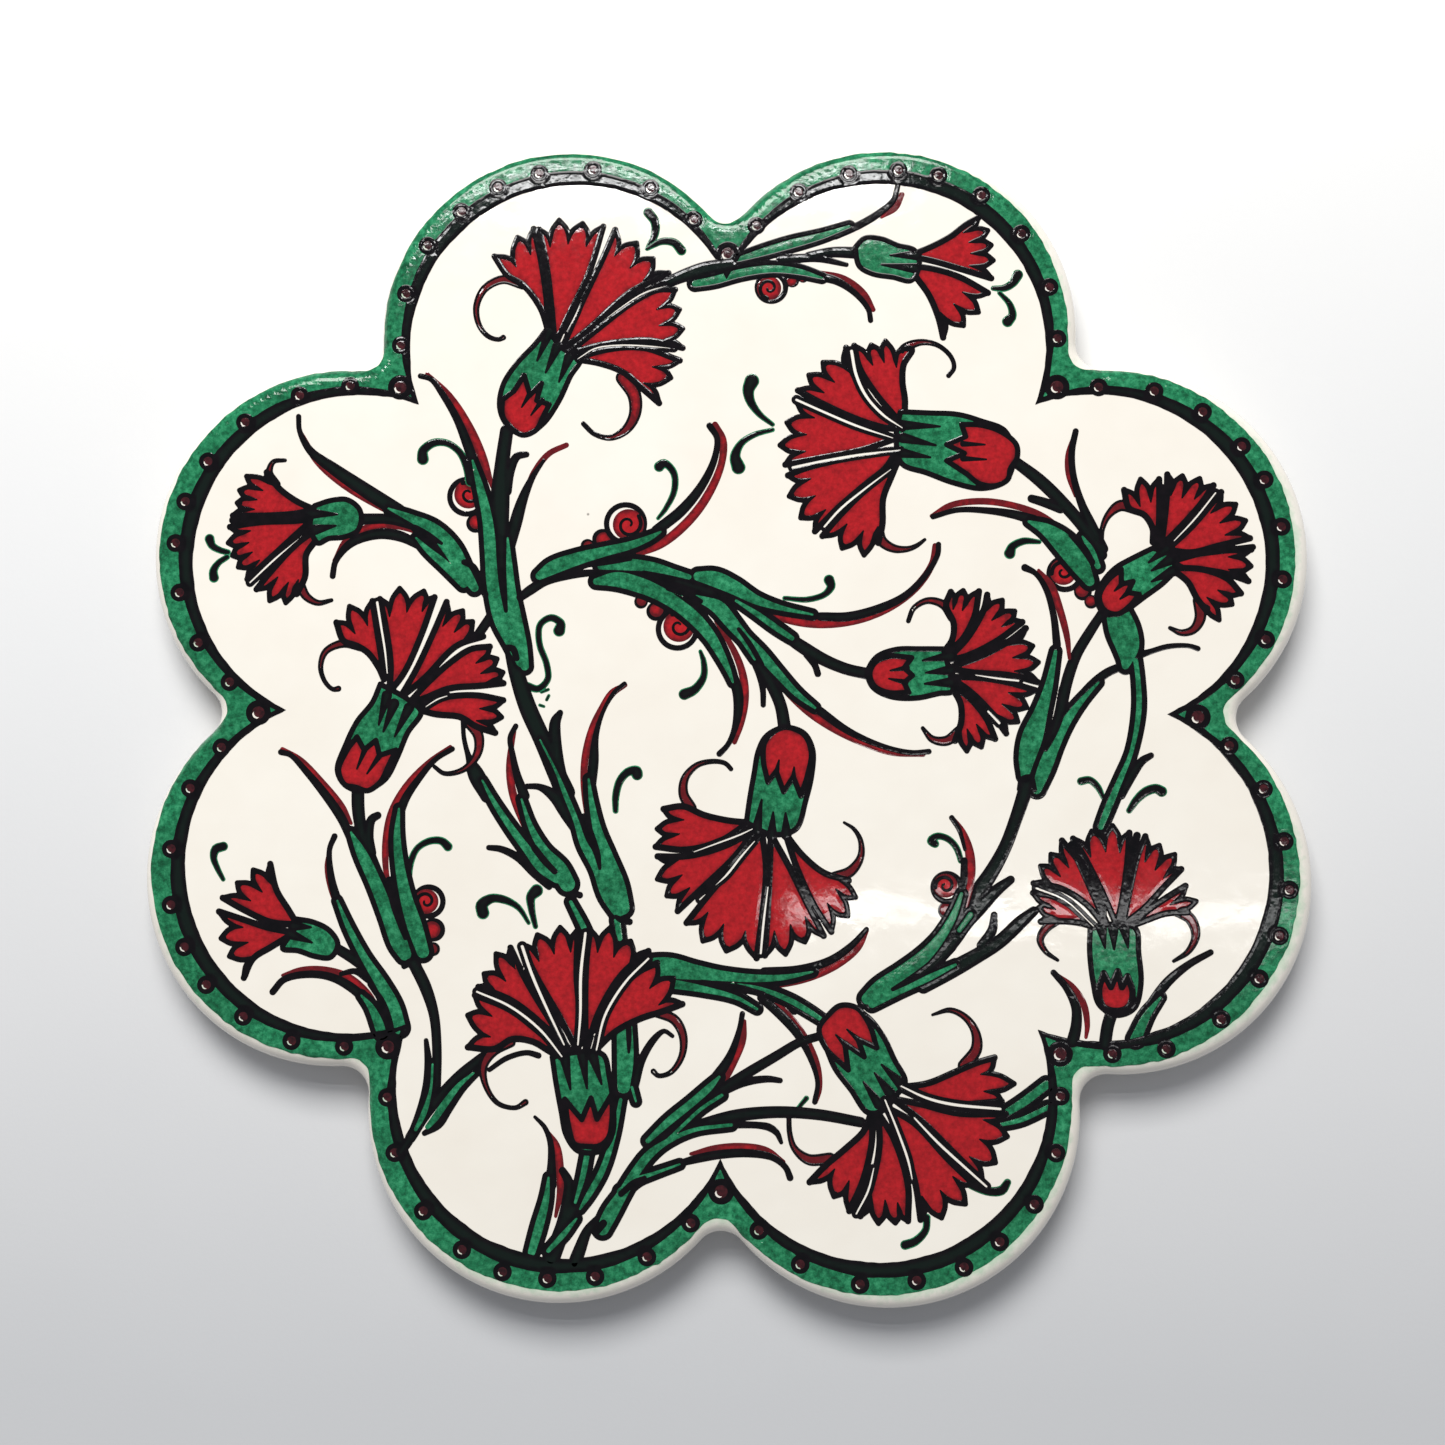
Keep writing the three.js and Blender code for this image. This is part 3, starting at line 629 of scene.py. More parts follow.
             [(-19.3, -31.4), (-16.4, -31.1), (-13.4, -33), (-10.8, -34.4)], [(-14.8, -38), (-18, -43.5)]),
            ((-18.6, -49), [(-16.8, -43.4), (-12.8, -37.9)], [(-9.5, -36.1), (-7.1, -38.3), (-5.8, -42)],
             [(-8.4, -43), (-12, -44.2), (-15.4, -46)])],
        curls=[
            [(-30.6, -47.8, 1.3), (-33.2, -49, 1.6), (-34.6, -51.2, 1.3), (-34.2, -54, 0.9),
             (-32.4, -56.5, 0.75), (-29.8, -57.1, 0.7), (-28.4, -56.3, 0.95)],
            [(-9.6, -43.3, 1.3), (-7, -44.2, 1.5), (-5.7, -46.4, 1.3), (-5.8, -49.4, 1), (-7.4, -51.8, 0.8),
             (-9.2, -52.3, 0.7), (-9.9, -51.7, 0.85)]],
        calyx=[(-24.6, -49.8), (-24, -53.5), (-23.2, -57.5), (-22.4, -61), (-20.6, -63.2), (-17.2, -63),
               (-15.7, -60.5), (-15.7, -56.5), (-16.3, -52.5), (-17.2, -49.4), (-20.5, -49)],
        spikes=[
            ((-22.8, -49.8), (-21.9, -54.4)),
            ((-20.2, -49.6), (-19.5, -54.2)),
            ((-18.7, -49.6), (-17.4, -53.6))],
        bowl=[(-22.7, -55.8), (-22.1, -59.6), (-21.2, -62.2), (-19.6, -62.5), (-17.6, -62.4),
              (-16.3, -61.2), (-15.8, -58.2), (-15.9, -55)],
        crown=[(-18, -58.6), (-18.9, -55.6), (-20.2, -58.7)],
    ),
    dict(   # 11 large, bottom right
        petals=[
            ((21.6, -57), [(20.5, -59.8), (17.6, -62.6), (15, -64.8)],
             [(12.7, -67.2), (16.2, -69.2), (18.4, -71.2)], [(20.3, -67), (21.6, -61.5)]),
            ((22.5, -57.2), [(22.7, -62), (21.6, -67.5)],
             [(20, -71.9), (22.6, -72.9), (25, -72.8), (26.8, -72.5)], [(26.8, -67.5), (24.8, -61)]),
            ((23.6, -56.4), [(25.8, -61), (27.8, -67)],
             [(28.6, -72.3), (31.6, -72), (35, -70), (36.2, -67.2)], [(32.4, -63.6), (27.6, -58.6)]),
            ((24.6, -55.2), [(28.8, -58.4), (34.4, -63.8)],
             [(37.4, -66.6), (39.3, -64.1), (41, -60.4), (40.8, -57.2)], [(34, -57.2), (28.8, -56)]),
            ((25.2, -53.6), [(29, -55.2), (34, -55.9)], [(40.2, -55.4), (42, -52.9), (39.2, -49.2)],
             [(36.6, -50), (33.6, -51.3), (29.5, -53)])],
        curls=[
            [(15.6, -63.8, 1.7), (12.6, -64, 1.6), (10.5, -62.4, 1), (9.8, -60.2, 0.8), (9.7, -58.2, 0.75)],
            [(34.8, -50.4, 1.8), (36.6, -48, 1.7), (36.4, -45.4, 1.3), (34.9, -43.4, 1), (32.8, -42.5, 0.8),
             (30.3, -43.2, 0.4)]],
        calyx=[(14.8, -47.5), (16.3, -51), (18.6, -54), (21, -57.2), (23, -57), (25.2, -54.6),
               (26.4, -52.8), (24.8, -49.6), (23.3, -46.5), (21, -43.6), (18, -42.1), (15.3, -44)],
        spikes=[((22.6, -56), (20.4, -52.9)), ((24.2, -54.4), (22, -51.6)), ((25.6, -52.9), (23, -50.4))],
        bowl=[(22.3, -48), (21.2, -44.6), (19.4, -42.3), (17, -42), (15.3, -43.4), (14, -45.3), (14.9, -48),
              (18.2, -51.2)],
        crown=[(17.7, -47.4), (20.5, -49.3), (19.6, -46.8)],
        ribs=[((19.8, -47), (18, -45.4)), ((17.8, -47.6), (16.4, -46.2))],
    ),
    dict(   # 12 small, lower left
        petals=[
            ((-62.2, -31), [(-63.6, -28.8), (-65.4, -26)],
             [(-66.4, -22.2), (-68.9, -23.1), (-71.2, -25), (-73.3, -27.2)], [(-70, -29), (-66, -30.7)]),
            ((-62.6, -32.2), [(-66.5, -31.5), (-70, -30.4)],
             [(-73.8, -29.2), (-73.4, -33.1), (-72.1, -35.7), (-69.9, -38.8)],
             [(-68.6, -36), (-66, -34.3)])],
        calyx=[(-62.5, -30.2), (-60, -30.6), (-57.5, -31.8), (-56.2, -33.8), (-57.2, -35.7), (-59.5, -35.6),
               (-62, -34.8), (-64.3, -34.5), (-63.2, -32.4)],
        spikes=[((-63.2, -32.4), (-60, -33.6)), ((-62.8, -31.2), (-60.2, -31.4))],
    ),
]


# ---- The foliage ---------------------------------------------------------------------------
# A spray is painted from below: red accents, dark strokes, green cores inside a common dark
# edge, dark ribs, and glints, which are green slivers in a dark stroke. Every stroke is
# (x, y, width) points.

SPRAYS = [
    dict(   # the stem and leaf left of the middle
        red=[
            [(-44.6, 50.6, 0.5), (-41.3, 47.4, 0.9), (-38.2, 42.7, 1.1), (-36.1, 38, 1.2),
             (-34.6, 33.6, 0.5)],
            [(-23.7, 39.9, 0.7), (-26.3, 38.6, 0.8), (-28.4, 35.8, 0.9), (-29.8, 32.5, 0.6)]],
        dark=[
            [(-45.6, 50.3, 0.8), (-44, 49.8, 0.8), (-42.2, 47.5, 1), (-40, 43.8, 1.2), (-38.4, 40, 1.5),
             (-37, 36, 1.5), (-35.6, 32, 1.2), (-34.8, 28, 0.8)],
            [(-32.6, 42, 2), (-33.2, 37, 2.2), (-33.4, 32, 2.8), (-33.2, 27, 2.2), (-33, 22, 1.2)],
            [(-29.6, 38.5, 0.9), (-31, 38.2, 1.2), (-32, 36, 1.4), (-32.4, 33, 1.4)],
            [(-27, 37.6, 0.5), (-28.6, 35.2, 0.9), (-30, 32, 1.5), (-31, 28.5, 1.9), (-31.8, 25, 1.6)],
            [(-31.6, 9.6, 1.8), (-30.6, 6, 2.3), (-28.9, 1, 2.6), (-26.8, -3.5, 2.6), (-24.6, -8.5, 2.7),
             (-23.2, -11.5, 2.9)],
            [(-36.4, 11.6, 1.4), (-35.2, 13.4, 1.4), (-34.4, 15, 1)]],
        green=[
            [(-37.6, 37.6, 0.3), (-36.4, 33.5, 1.1), (-35.3, 29, 1.5), (-34.7, 24, 1.8), (-34.2, 19, 2),
             (-32.8, 14, 2.6), (-31, 10.8, 2.7), (-29.8, 7.8, 1.9)],
            [(-32.2, 26, 0.3), (-31.9, 22, 0.9), (-31.5, 18, 1.3), (-30.9, 14, 1.9), (-30, 10, 1.8),
             (-29.4, 7, 1.2)]],
        ribs=[
            [(-33.4, 29, 1.3), (-33.3, 24, 1.2), (-32.9, 19, 1), (-32.3, 15.2, 0.6)],
            [(-32.4, 9.8, 0.8), (-31.2, 9.6, 1), (-30.6, 8.2, 0.9)]],
    ),
    dict(   # the leaves behind the small carnation at the upper left
        red=[
            [(-63.2, 41.6, 0.5), (-61, 37.8, 1), (-57, 34.2, 1.1), (-51, 30.6, 1), (-47, 28.6, 0.5)],
            [(-57.9, 22.6, 0.5), (-56, 25.8, 0.9), (-52, 27.8, 1), (-48.5, 27.7, 0.8), (-46, 26.9, 0.4)]],
        dark=[
            [(-63.7, 44.2, 0.8), (-63.5, 42, 0.8), (-61.8, 39, 1.2), (-58.4, 36.4, 1.8), (-53, 32.8, 2.2),
             (-48.5, 30, 2.2)],
            [(-54, 28.8, 1.7), (-50, 28.8, 1.5), (-46, 27.8, 1.4)],
            [(-58.1, 20.3, 0.9), (-57.7, 22.5, 0.9), (-55.5, 25.2, 1.3), (-51.5, 26.6, 1.6),
             (-48, 26.2, 1.6), (-45, 24.6, 1)],
            [(-38.3, 22.2, 1.2), (-37.2, 21.6, 1.1), (-36.2, 19.5, 1), (-35.4, 17.6, 1)]],
        green=[
            [(-50, 30.4, 0.3), (-46.5, 28.9, 1.2), (-43.2, 27.2, 1.9), (-40.6, 24.4, 2.4), (-38.6, 21, 2),
             (-37, 18.6, 1.2)],
            [(-45.8, 26, 0.3), (-44, 24.2, 0.9), (-41.4, 22, 1.3), (-38.6, 19.2, 1.2)]],
        ribs=[
            [(-46, 27.4, 1.2), (-44, 26.4, 1), (-42, 25.2, 0.5)],
            [(-38.6, 22.4, 0.9), (-37.6, 22, 1), (-36.8, 20.6, 0.9)]],
    ),
    dict(   # the leaf that rises to the middle of the upper half
        red=[
            [(-14.2, 23.2, 0.5), (-9.5, 25.2, 1.2), (-5.5, 28.6, 1.3), (-2.6, 32.6, 1.2), (-0.7, 37.2, 1),
             (-0.5, 40.6, 1), (-1.7, 43, 0.8)]],
        dark=[
            [(-10.2, 27.2, 1.6), (-6.5, 30.2, 1.6), (-3.5, 34, 1.3), (-1.7, 38, 1), (-1.4, 41, 0.9),
             (-2.5, 42.8, 1)],
            [(-30.2, 17.2, 1.2), (-28.6, 18.4, 1.5), (-26.5, 19.6, 1.3), (-23, 20.5, 1.2), (-19.5, 20.9, 1),
             (-17.8, 20.9, 0.8)]],
        green=[
            [(-27.4, 20.4, 1.2), (-25.5, 21.6, 2), (-22, 22.9, 1.9), (-18, 24, 1.5), (-14, 25, 1.2),
             (-11, 26.2, 0.8), (-9.6, 27, 0.3)]],
    ),
    dict(   # the long leaves across the middle
        red=[
            [(30.7, 25, 0.7), (30.3, 22.4, 0.9), (28.4, 19.4, 1.1), (25.4, 16.8, 1.2), (21.6, 14.9, 1.4),
             (17.6, 13.8, 1.4), (13, 13.5, 1.3), (8.6, 14.2, 1.1), (5.2, 15.4, 0.5)],
            [(29, -5.7, 0.5), (24.5, -5.3, 1), (20.5, -4, 1.1), (16.5, -2.2, 1.1), (12.6, 0.2, 1),
             (9.6, 2.8, 0.8), (7.6, 4.8, 0.4)],
            [(1.5, -4, 0.6), (2.3, -1.4, 1), (2.9, 1.6, 1.1), (2.9, 4.4, 1.1), (2.2, 7.4, 1),
             (0.8, 10.4, 0.8), (-1.4, 13.8, 0.4)]],
        dark=[
            [(31.2, 25.2, 0.8), (31.1, 23.8, 0.8), (29.3, 20.6, 0.9), (26.3, 17.6, 1.1), (22.5, 15.7, 1.3),
             (18, 14.5, 1.4), (14, 14.5, 1.3)],
            [(29.8, -5.2, 0.8), (27.5, -5.4, 0.8), (24.5, -4.9, 0.8), (21, -3.7, 0.9), (17.6, -2, 1.1),
             (14, 0.6, 1.3)],
            [(-0.7, -5.7, 0.9), (0.5, -4.4, 0.8), (1.4, -2.4, 0.9), (2, 0.6, 1.4), (1.9, 3.4, 1.6),
             (1, 6.2, 1.5)],
            [(8.8, -1.8, 1.9), (8.2, 1.4, 1.8), (6.9, 4.4, 1.8), (5, 7.6, 1.7), (3, 10.6, 1.2)],
            [(21, 6.1, 1.7), (17.8, 6.8, 1.7), (14.6, 8.1, 1.8), (11.2, 10.1, 1.9), (9, 11.6, 1.6)],
            [(13.6, 6.1, 1), (13.2, 7.3, 1), (12, 8.9, 1.1)],
            [(5.65, 1.5, 0.8), (5.6, 3.6, 0.9), (5.1, 5.8, 1), (4.2, 8, 1)]],
        green=[
            [(-19, 19.6, 1), (-16, 19.9, 2.2), (-13, 19.2, 2.3), (-10, 18, 2.1), (-7, 16.2, 1.9),
             (-4.5, 14.2, 1.9), (-2.2, 11.6, 1.6), (-0.6, 8.9, 1.2), (0.6, 6.4, 0.7), (1.2, 4.8, 0.3)],
            [(-18.4, 21.8, 0.9), (-15, 22.1, 1.7), (-11, 21.8, 1.5), (-7.5, 20.9, 1), (-5.4, 20.3, 0.8)],
            [(-4, 20.4, 1.4), (-1.6, 20, 2.3), (1.2, 18.8, 2.1), (4.4, 17, 1.4), (8, 15.8, 0.8),
             (12.8, 14.8, 0.3)],
            [(1.6, 16.8, 0.4), (4.6, 14.9, 0.8), (7.4, 12.9, 0.9), (9.8, 11.3, 0.7)],
            [(-8.4, 18.4, 0.6), (-5, 17.4, 0.8), (-2.6, 16.6, 1.4), (-1, 15.8, 2), (0.9, 13.6, 1.9),
             (2.8, 11.4, 1.5), (5.2, 9, 1.5), (7.8, 6.1, 1.2), (10.5, 3.2, 0.9), (13.2, 1.1, 0.4)],
            [(2.2, 11.4, 0.4), (3.4, 9.8, 0.6), (4.4, 8.2, 0.4)]],
        ribs=[
            [(-20, 22.1, 0.8), (-17, 22.5, 0.8), (-14, 22.9, 0.5)],
            [(-12, 20.8, 0.9), (-8, 19.9, 1.2), (-4.4, 18.8, 1.4), (-1.6, 17.8, 1.2), (0.6, 16.8, 0.8)],
            [(-8.4, 18.6, 0.8), (-6, 17.9, 1), (-3.6, 16.7, 0.7)],
            [(2, 12.6, 0.6), (3.6, 10.5, 0.8), (5.4, 7.4, 0.8)]],
    ),
    dict(   # the twin leaves in the middle of the left half
        red=[
            [(-14.6, 4.3, 0.6), (-16.4, 3.2, 1), (-17.9, 0.9, 1), (-19.3, -2, 1), (-20.3, -6, 1),
             (-20.5, -10, 0.9), (-20, -14.5, 0.7), (-19.4, -17.5, 0.4)],
            [(-30.8, -2.6, 0.5), (-31.3, -5.5, 0.8), (-31.4, -8.5, 1), (-30.8, -12, 1.1), (-29.2, -16, 1),
             (-27.6, -19, 0.9), (-26.9, -20.4, 0.4)]],
        dark=[
            [(-14.7, 4.5, 0.7), (-16.2, 3.2, 0.7), (-17.7, 0.6, 0.6), (-18.8, -3, 0.9), (-19.1, -7, 1.5),
             (-19.4, -10.5, 1.4)],
            [(-24.1, 0.2, 0.9), (-24.8, -1.2, 1.6), (-24.7, -4.5, 1.8), (-24, -8.5, 1.8),
             (-22.6, -12.5, 1.4)],
            [(-28.8, -10.6, 0.8), (-27, -10.7, 1), (-24.8, -12, 1.8), (-22.8, -14.6, 2.2),
             (-21, -17.5, 1.6)],
            [(-38.4, -1, 0.7), (-38.2, -3.6, 0.7), (-37.4, -6.5, 1), (-36.4, -8.8, 2.4), (-34.6, -12, 2.2)],
            [(-34.3, -19.6, 0.8), (-32.5, -19.8, 1), (-30, -21, 1.2), (-27.6, -23.3, 1.2),
             (-25.4, -25.2, 1)],
            [(-30.6, -1.8, 0.8), (-31.4, -3.5, 0.8), (-31, -6, 0.9), (-30.3, -9, 1.2), (-29.2, -12, 1.6)]],
        green=[
            [(-27, -3.8, 0.25), (-24.5, -8.6, 0.4), (-23.3, -11.5, 0.7), (-21.6, -15.5, 0.8),
             (-20.4, -19, 1.1), (-18.2, -22.5, 1.8), (-16.4, -26, 2.9), (-15.2, -28.3, 2.3)],
            [(-19.8, -9.5, 0.3), (-19.3, -13, 0.8), (-18.4, -17, 1.3), (-17, -21, 2), (-15.6, -25, 2.6),
             (-14.6, -28.2, 2)],
            [(-15.4, -30, 0.9), (-15, -32.6, 0.8)],
            [(-35.4, -9.8, 0.3), (-33.6, -13, 0.7), (-31, -16.8, 1), (-28.6, -19.9, 1.2),
             (-26.5, -22.4, 1.6), (-24.2, -23.8, 1.8)],
            [(-29.6, -12.5, 0.3), (-28.2, -16.5, 0.8), (-26.2, -20, 1.4), (-24, -22.7, 2.4),
             (-22.7, -24.8, 2.2)],
            [(-22.2, -27.4, 0.5), (-20.6, -30.4, 0.8), (-20.1, -31.4, 0.8)]],
        ribs=[
            [(-20.4, -15, 1), (-19.3, -18, 1.2), (-18.4, -20.5, 1), (-18, -22.5, 0.5)],
            [(-27.6, -19.6, 1), (-26, -21.6, 1), (-24.6, -23, 0.9)],
            [(-13.6, -30.2, 1), (-14.9, -29.9, 0.9), (-15.6, -29.5, 0.6)],
            [(-20.9, -26.4, 1), (-21.8, -26.2, 0.7), (-22.6, -26.3, 0.4)]],
    ),
    dict(   # the leaves under the large carnation at the left
        red=[
            [(-65, -5.4, 0.6), (-62.4, -7, 1), (-59.2, -10.2, 1.1), (-56, -13.8, 0.9), (-54.6, -16.2, 0.4)],
            [(-40.2, -4.9, 0.5), (-43.2, -7.2, 0.9), (-46.4, -10.6, 1.1), (-48.6, -14.5, 1.1),
             (-49.4, -18.5, 1), (-49.4, -22.5, 0.8), (-48.6, -26.5, 0.4)]],
        dark=[
            [(-65.2, -5.8, 0.9), (-63.8, -6.2, 0.8), (-61.5, -8.5, 1), (-58.5, -12, 1.3), (-56, -15.5, 1.4),
             (-54.6, -18.5, 1.2)],
            [(-53.7, -11, 1.9), (-53.6, -14, 1.9), (-53, -17.5, 1.7), (-51.4, -21.5, 1.6),
             (-49.6, -25, 1.2)],
            [(-50.7, -15, 1.1), (-51.6, -15.6, 1.3), (-52, -18, 1.5), (-51.6, -20.5, 1.6)],
            [(-39.9, -5.2, 0.8), (-42.3, -6.7, 0.8), (-44.6, -9.4, 1), (-46.8, -12.8, 1.3),
             (-47.9, -17, 1.4), (-48, -21.5, 1.4)],
            [(-45, -36.5, 1.8), (-43.2, -40, 1.8), (-41.9, -44, 1.5), (-41.4, -49, 1.4),
             (-41.4, -54, 1.4)]],
        green=[
            [(-54.6, -17.5, 0.3), (-53, -20.5, 1.5), (-50.8, -25, 1.8), (-48.9, -29.5, 2),
             (-47.2, -33.5, 2.4), (-46.3, -35.2, 1.8)],
            [(-47.6, -14, 0.3), (-47.8, -18, 1), (-47.3, -22.5, 1.4), (-46.3, -27, 1.8), (-45, -31, 2.2),
             (-43.7, -34.8, 1.8)]],
        ribs=[
            [(-48.8, -24.5, 1.2), (-48, -28, 1.2), (-47, -31, 0.9), (-46.3, -32.8, 0.7)],
            [(-46.4, -36.9, 0.9), (-45.4, -36.3, 1.2), (-44.4, -36.9, 1.2)]],
    ),
    dict(   # the leaves behind the small carnation at the lower left
        red=[
            [(-57.6, -19.8, 0.5), (-58, -22.6, 0.7), (-57.2, -26.2, 0.8), (-56, -29.2, 0.4)],
            [(-64.2, -38.4, 0.4), (-61.5, -37.6, 0.8), (-58, -37.5, 0.8), (-54.5, -38.6, 1),
             (-51.5, -41.2, 1), (-50, -43.4, 0.4)]],
        dark=[
            [(-57, -18.1, 0.9), (-57.7, -20, 0.8), (-57.4, -24, 1.1), (-56.2, -28, 1.4),
             (-54.2, -32.5, 1.4), (-52.4, -35.8, 1.2)],
            [(-56, -34.6, 1.5), (-53.4, -36.2, 1.6), (-51, -38.2, 1.5), (-49.4, -40.6, 1.2)],
            [(-65.6, -40.8, 1), (-64, -39, 1), (-60.5, -38.2, 1.1), (-57, -38.6, 1.2), (-53.6, -40.4, 1.4),
             (-51, -43, 1.4)],
            [(-55.6, -38.1, 0.7), (-53.6, -37.7, 0.9), (-51.6, -38.9, 1.1)]],
        green=[
            [(-56.4, -27.5, 0.3), (-54.6, -31.5, 0.8), (-52.2, -35.8, 1.1), (-49.8, -39.4, 1.6),
             (-47.9, -42.8, 1.9), (-46.9, -45.8, 1.8)],
            [(-52.6, -41.2, 0.3), (-51.2, -42.8, 0.9), (-50, -45.2, 1.4), (-49.6, -46.4, 1.4)]],
        ribs=[[(-51.4, -39.6, 0.7), (-49.6, -42, 1), (-48.4, -45, 1), (-48, -46.8, 0.9)]],
    ),
    dict(   # the leaves from the upper notch
        red=[
            [(22.8, 74.2, 0.4), (24.8, 75.6, 0.9), (25.8, 77.6, 0.7)],
            [(13, 66, 0.4), (17.2, 64.9, 0.9), (20.2, 62.6, 0.9), (21.6, 60.2, 0.6)]],
        dark=[
            [(16, 71.4, 1.2), (19.5, 73, 1.2), (22.6, 74.9, 1.1), (24.6, 76.8, 0.9), (25.2, 79, 0.8)],
            [(12, 68.4, 1.2), (15.5, 68.9, 1.6), (19, 68.8, 1.8)],
            [(8, 67.8, 1.6), (13, 68, 1.2), (17.6, 67, 0.7)],
            [(12, 65.4, 1.5), (16, 64.6, 1.2), (19, 62.6, 0.9), (20.9, 60.2, 0.8), (21.2, 58.6, 0.8)],
            [(-12, 62.8, 1.4), (-8, 64.8, 1.8), (-3.5, 66.4, 2.2), (1, 67.2, 1.8)]],
        green=[
            [(1.4, 67.8, 0.6), (5, 68.9, 1.1), (9.5, 70.2, 1.3), (14, 71.4, 0.9), (18, 72.8, 0.4)],
            [(-4.8, 64.2, 1), (-2, 64.7, 1.2), (2, 65.8, 1.2), (6.5, 66.4, 1.1), (10.5, 66, 0.9),
             (14, 65, 0.3)]],
    ),
    dict(   # the leaves round the carnation at the right
        red=[
            [(30.2, 29.4, 0.5), (33, 31, 0.8), (37.5, 31.6, 0.9), (42, 31, 0.9), (46, 29.6, 0.9),
             (49.5, 27.2, 0.7), (52, 25.2, 0.3)],
            [(51, 41.2, 0.5), (50.2, 38.4, 0.8), (50.2, 35.6, 0.7), (51.2, 32.4, 0.4)]],
        dark=[
            [(30.4, 29.3, 0.8), (34, 30.3, 0.8), (38.5, 30.2, 1), (42, 29.7, 1.3), (45, 28.9, 1.5)],
            [(42.4, 37.5, 1.6), (46, 34.7, 1.9), (49.5, 31.2, 1.9), (52.5, 27.6, 1.8), (55, 23.7, 1.6)],
            [(44.8, 32, 1.2), (46.8, 31.4, 1.4), (49, 30.5, 1.4)],
            [(51.3, 42, 0.9), (50.7, 39, 1), (50.9, 35.5, 1), (52, 31.5, 1.2), (53.6, 27.8, 1.6),
             (55.2, 24.6, 1.5)]],
        green=[
            [(44.4, 28.6, 0.4), (47, 27.4, 1.8), (49.6, 25.2, 3), (51.6, 22.6, 2.8), (53.2, 19.8, 1.4)],
            [(52.2, 26.4, 0.3), (53.4, 24.4, 1), (54.4, 22, 0.8)]],
        ribs=[[(50.6, 26.6, 0.9), (52.4, 24.6, 1.1), (53.6, 22.6, 0.9)]],
    ),
    dict(   # the joint under that carnation and its stems
        dark=[
            [(59.4, 8.8, 1.6), (61.5, 9.4, 0.9), (64.5, 10.3, 0.8), (67.5, 10.4, 0.7), (68.8, 10, 0.8)],
            [(57.8, 7.4, 1.2), (55.6, 6.4, 1.3), (53.2, 4.4, 1.4), (51, 1.6, 1.4), (49.8, -0.8, 1.2)],
            [(55, 15.2, 1.3), (53.2, 12.4, 1.5), (51.2, 9, 1.6), (49.8, 5, 1.7), (49, 1, 1.6)]],
        green=[
            [(57.3, 14.8, 3.4), (58, 12.6, 4), (58.6, 10.4, 3.4), (58.5, 8.4, 1.8), (58.3, 7.4, 1)],
            [(59.8, 8.2, 0.7), (60.1, 5.6, 0.7), (60.2, 1, 0.8), (59.1, -5, 0.6), (57.5, -9, 0.8),
             (55.8, -13, 1), (54.6, -16, 0.8)]],
    ),
    dict(   # the leaf at the right of the middle
        red=[[(45.8, 21.4, 0.4), (47.6, 19.2, 0.9), (48.9, 15.5, 1), (49.9, 11.5, 0.8), (50.2, 8.5, 0.4)]],
        dark=[
            [(43.8, 21.8, 1.1), (45.3, 21, 0.8), (46.8, 18.8, 0.9), (47.9, 15, 1), (48.4, 10.5, 1.2)],
            [(44, -10, 2.2), (42.5, -14.5, 1.9), (40.8, -19, 1.9), (38.6, -23, 2.2), (36, -26.6, 2.4),
             (33.6, -29.8, 2)],
            [(41.6, -23.7, 1.2), (39.6, -25.2, 1.7), (37, -27.8, 2.2), (34.5, -30.5, 2.2)],
            [(61.9, -5.6, 0.9), (60.6, -6.4, 1.2), (59, -8.6, 1.5), (57.6, -11.4, 1.2)]],
        green=[
            [(43.7, -8.6, 1.2), (44, -6, 2.4), (44.8, -3, 3), (46, 0.5, 2), (47.2, 4.5, 1.2),
             (48.2, 9.5, 0.5)],
            [(45.4, -10.6, 1.4), (46.6, -7.4, 2), (48, -4, 1.7), (49.8, -0.6, 1.3), (52, 2.4, 0.8),
             (54.4, 5, 0.3)]],
        ribs=[
            [(49.4, 4, 1.5), (48.6, 0, 1.5), (47.6, -2.8, 1.2), (46.7, -4.8, 0.7)],
            [(42.9, -10.6, 0.8), (43.3, -9.2, 0.9), (44.5, -8.9, 0.9), (45, -10.6, 0.9)]],
    ),
    dict(   # the leaf that crosses to the lower right carnations
        red=[
            [(33.2, -14.9, 0.6), (34.6, -16.8, 0.9), (35.6, -19.5, 1.2), (35.8, -22.5, 1.4),
             (35.3, -26, 1.1), (34.2, -29.5, 0.9), (33.4, -31.2, 0.4)]],
        dark=[
            [(33.1, -14.8, 0.8), (34.2, -16.6, 0.7), (35, -19.4, 0.5)],
            [(34.9, -21, 1), (34.8, -24, 1.1), (34.3, -26.5, 0.9)],
            [(44.9, -28.2, 1.4), (43, -29.8, 1.9), (40, -32.6, 2), (36.5, -34.8, 2.2), (33, -36.8, 2.4),
             (29, -39.2, 2)],
            [(39.2, -28.8, 1), (38.9, -31, 1.4), (37.4, -33.2, 1.5)],
            [(35.6, -29.6, 1.6), (33.5, -32.5, 1.8), (31, -35.5, 1.6), (28.5, -37.5, 1.4)]],
        green=[
            [(34.5, -25.8, 0.5), (33.4, -28.8, 1), (31.4, -32.2, 1.4), (29, -34.9, 1.9), (26, -37.4, 2.4),
             (22.8, -39.6, 2.5), (20.9, -41, 1.6)],
            [(35.8, -28.8, 0.8), (34.2, -31, 0.7)],
            [(33.6, -36, 0.4), (30, -37.8, 0.9), (26, -39.6, 1), (21.6, -41.8, 1)]],
        ribs=[[(33, -33.4, 1.6), (30.4, -36, 1.6), (27.4, -38, 1.1), (24.6, -39.6, 0.6)]],
    ),
    dict(   # the leaf between the lower carnations
        red=[
            [(20.9, -31.2, 0.4), (19.6, -33.6, 0.9), (16.8, -36, 1), (12.6, -38, 1), (8, -39, 1),
             (4, -39.2, 0.4)],
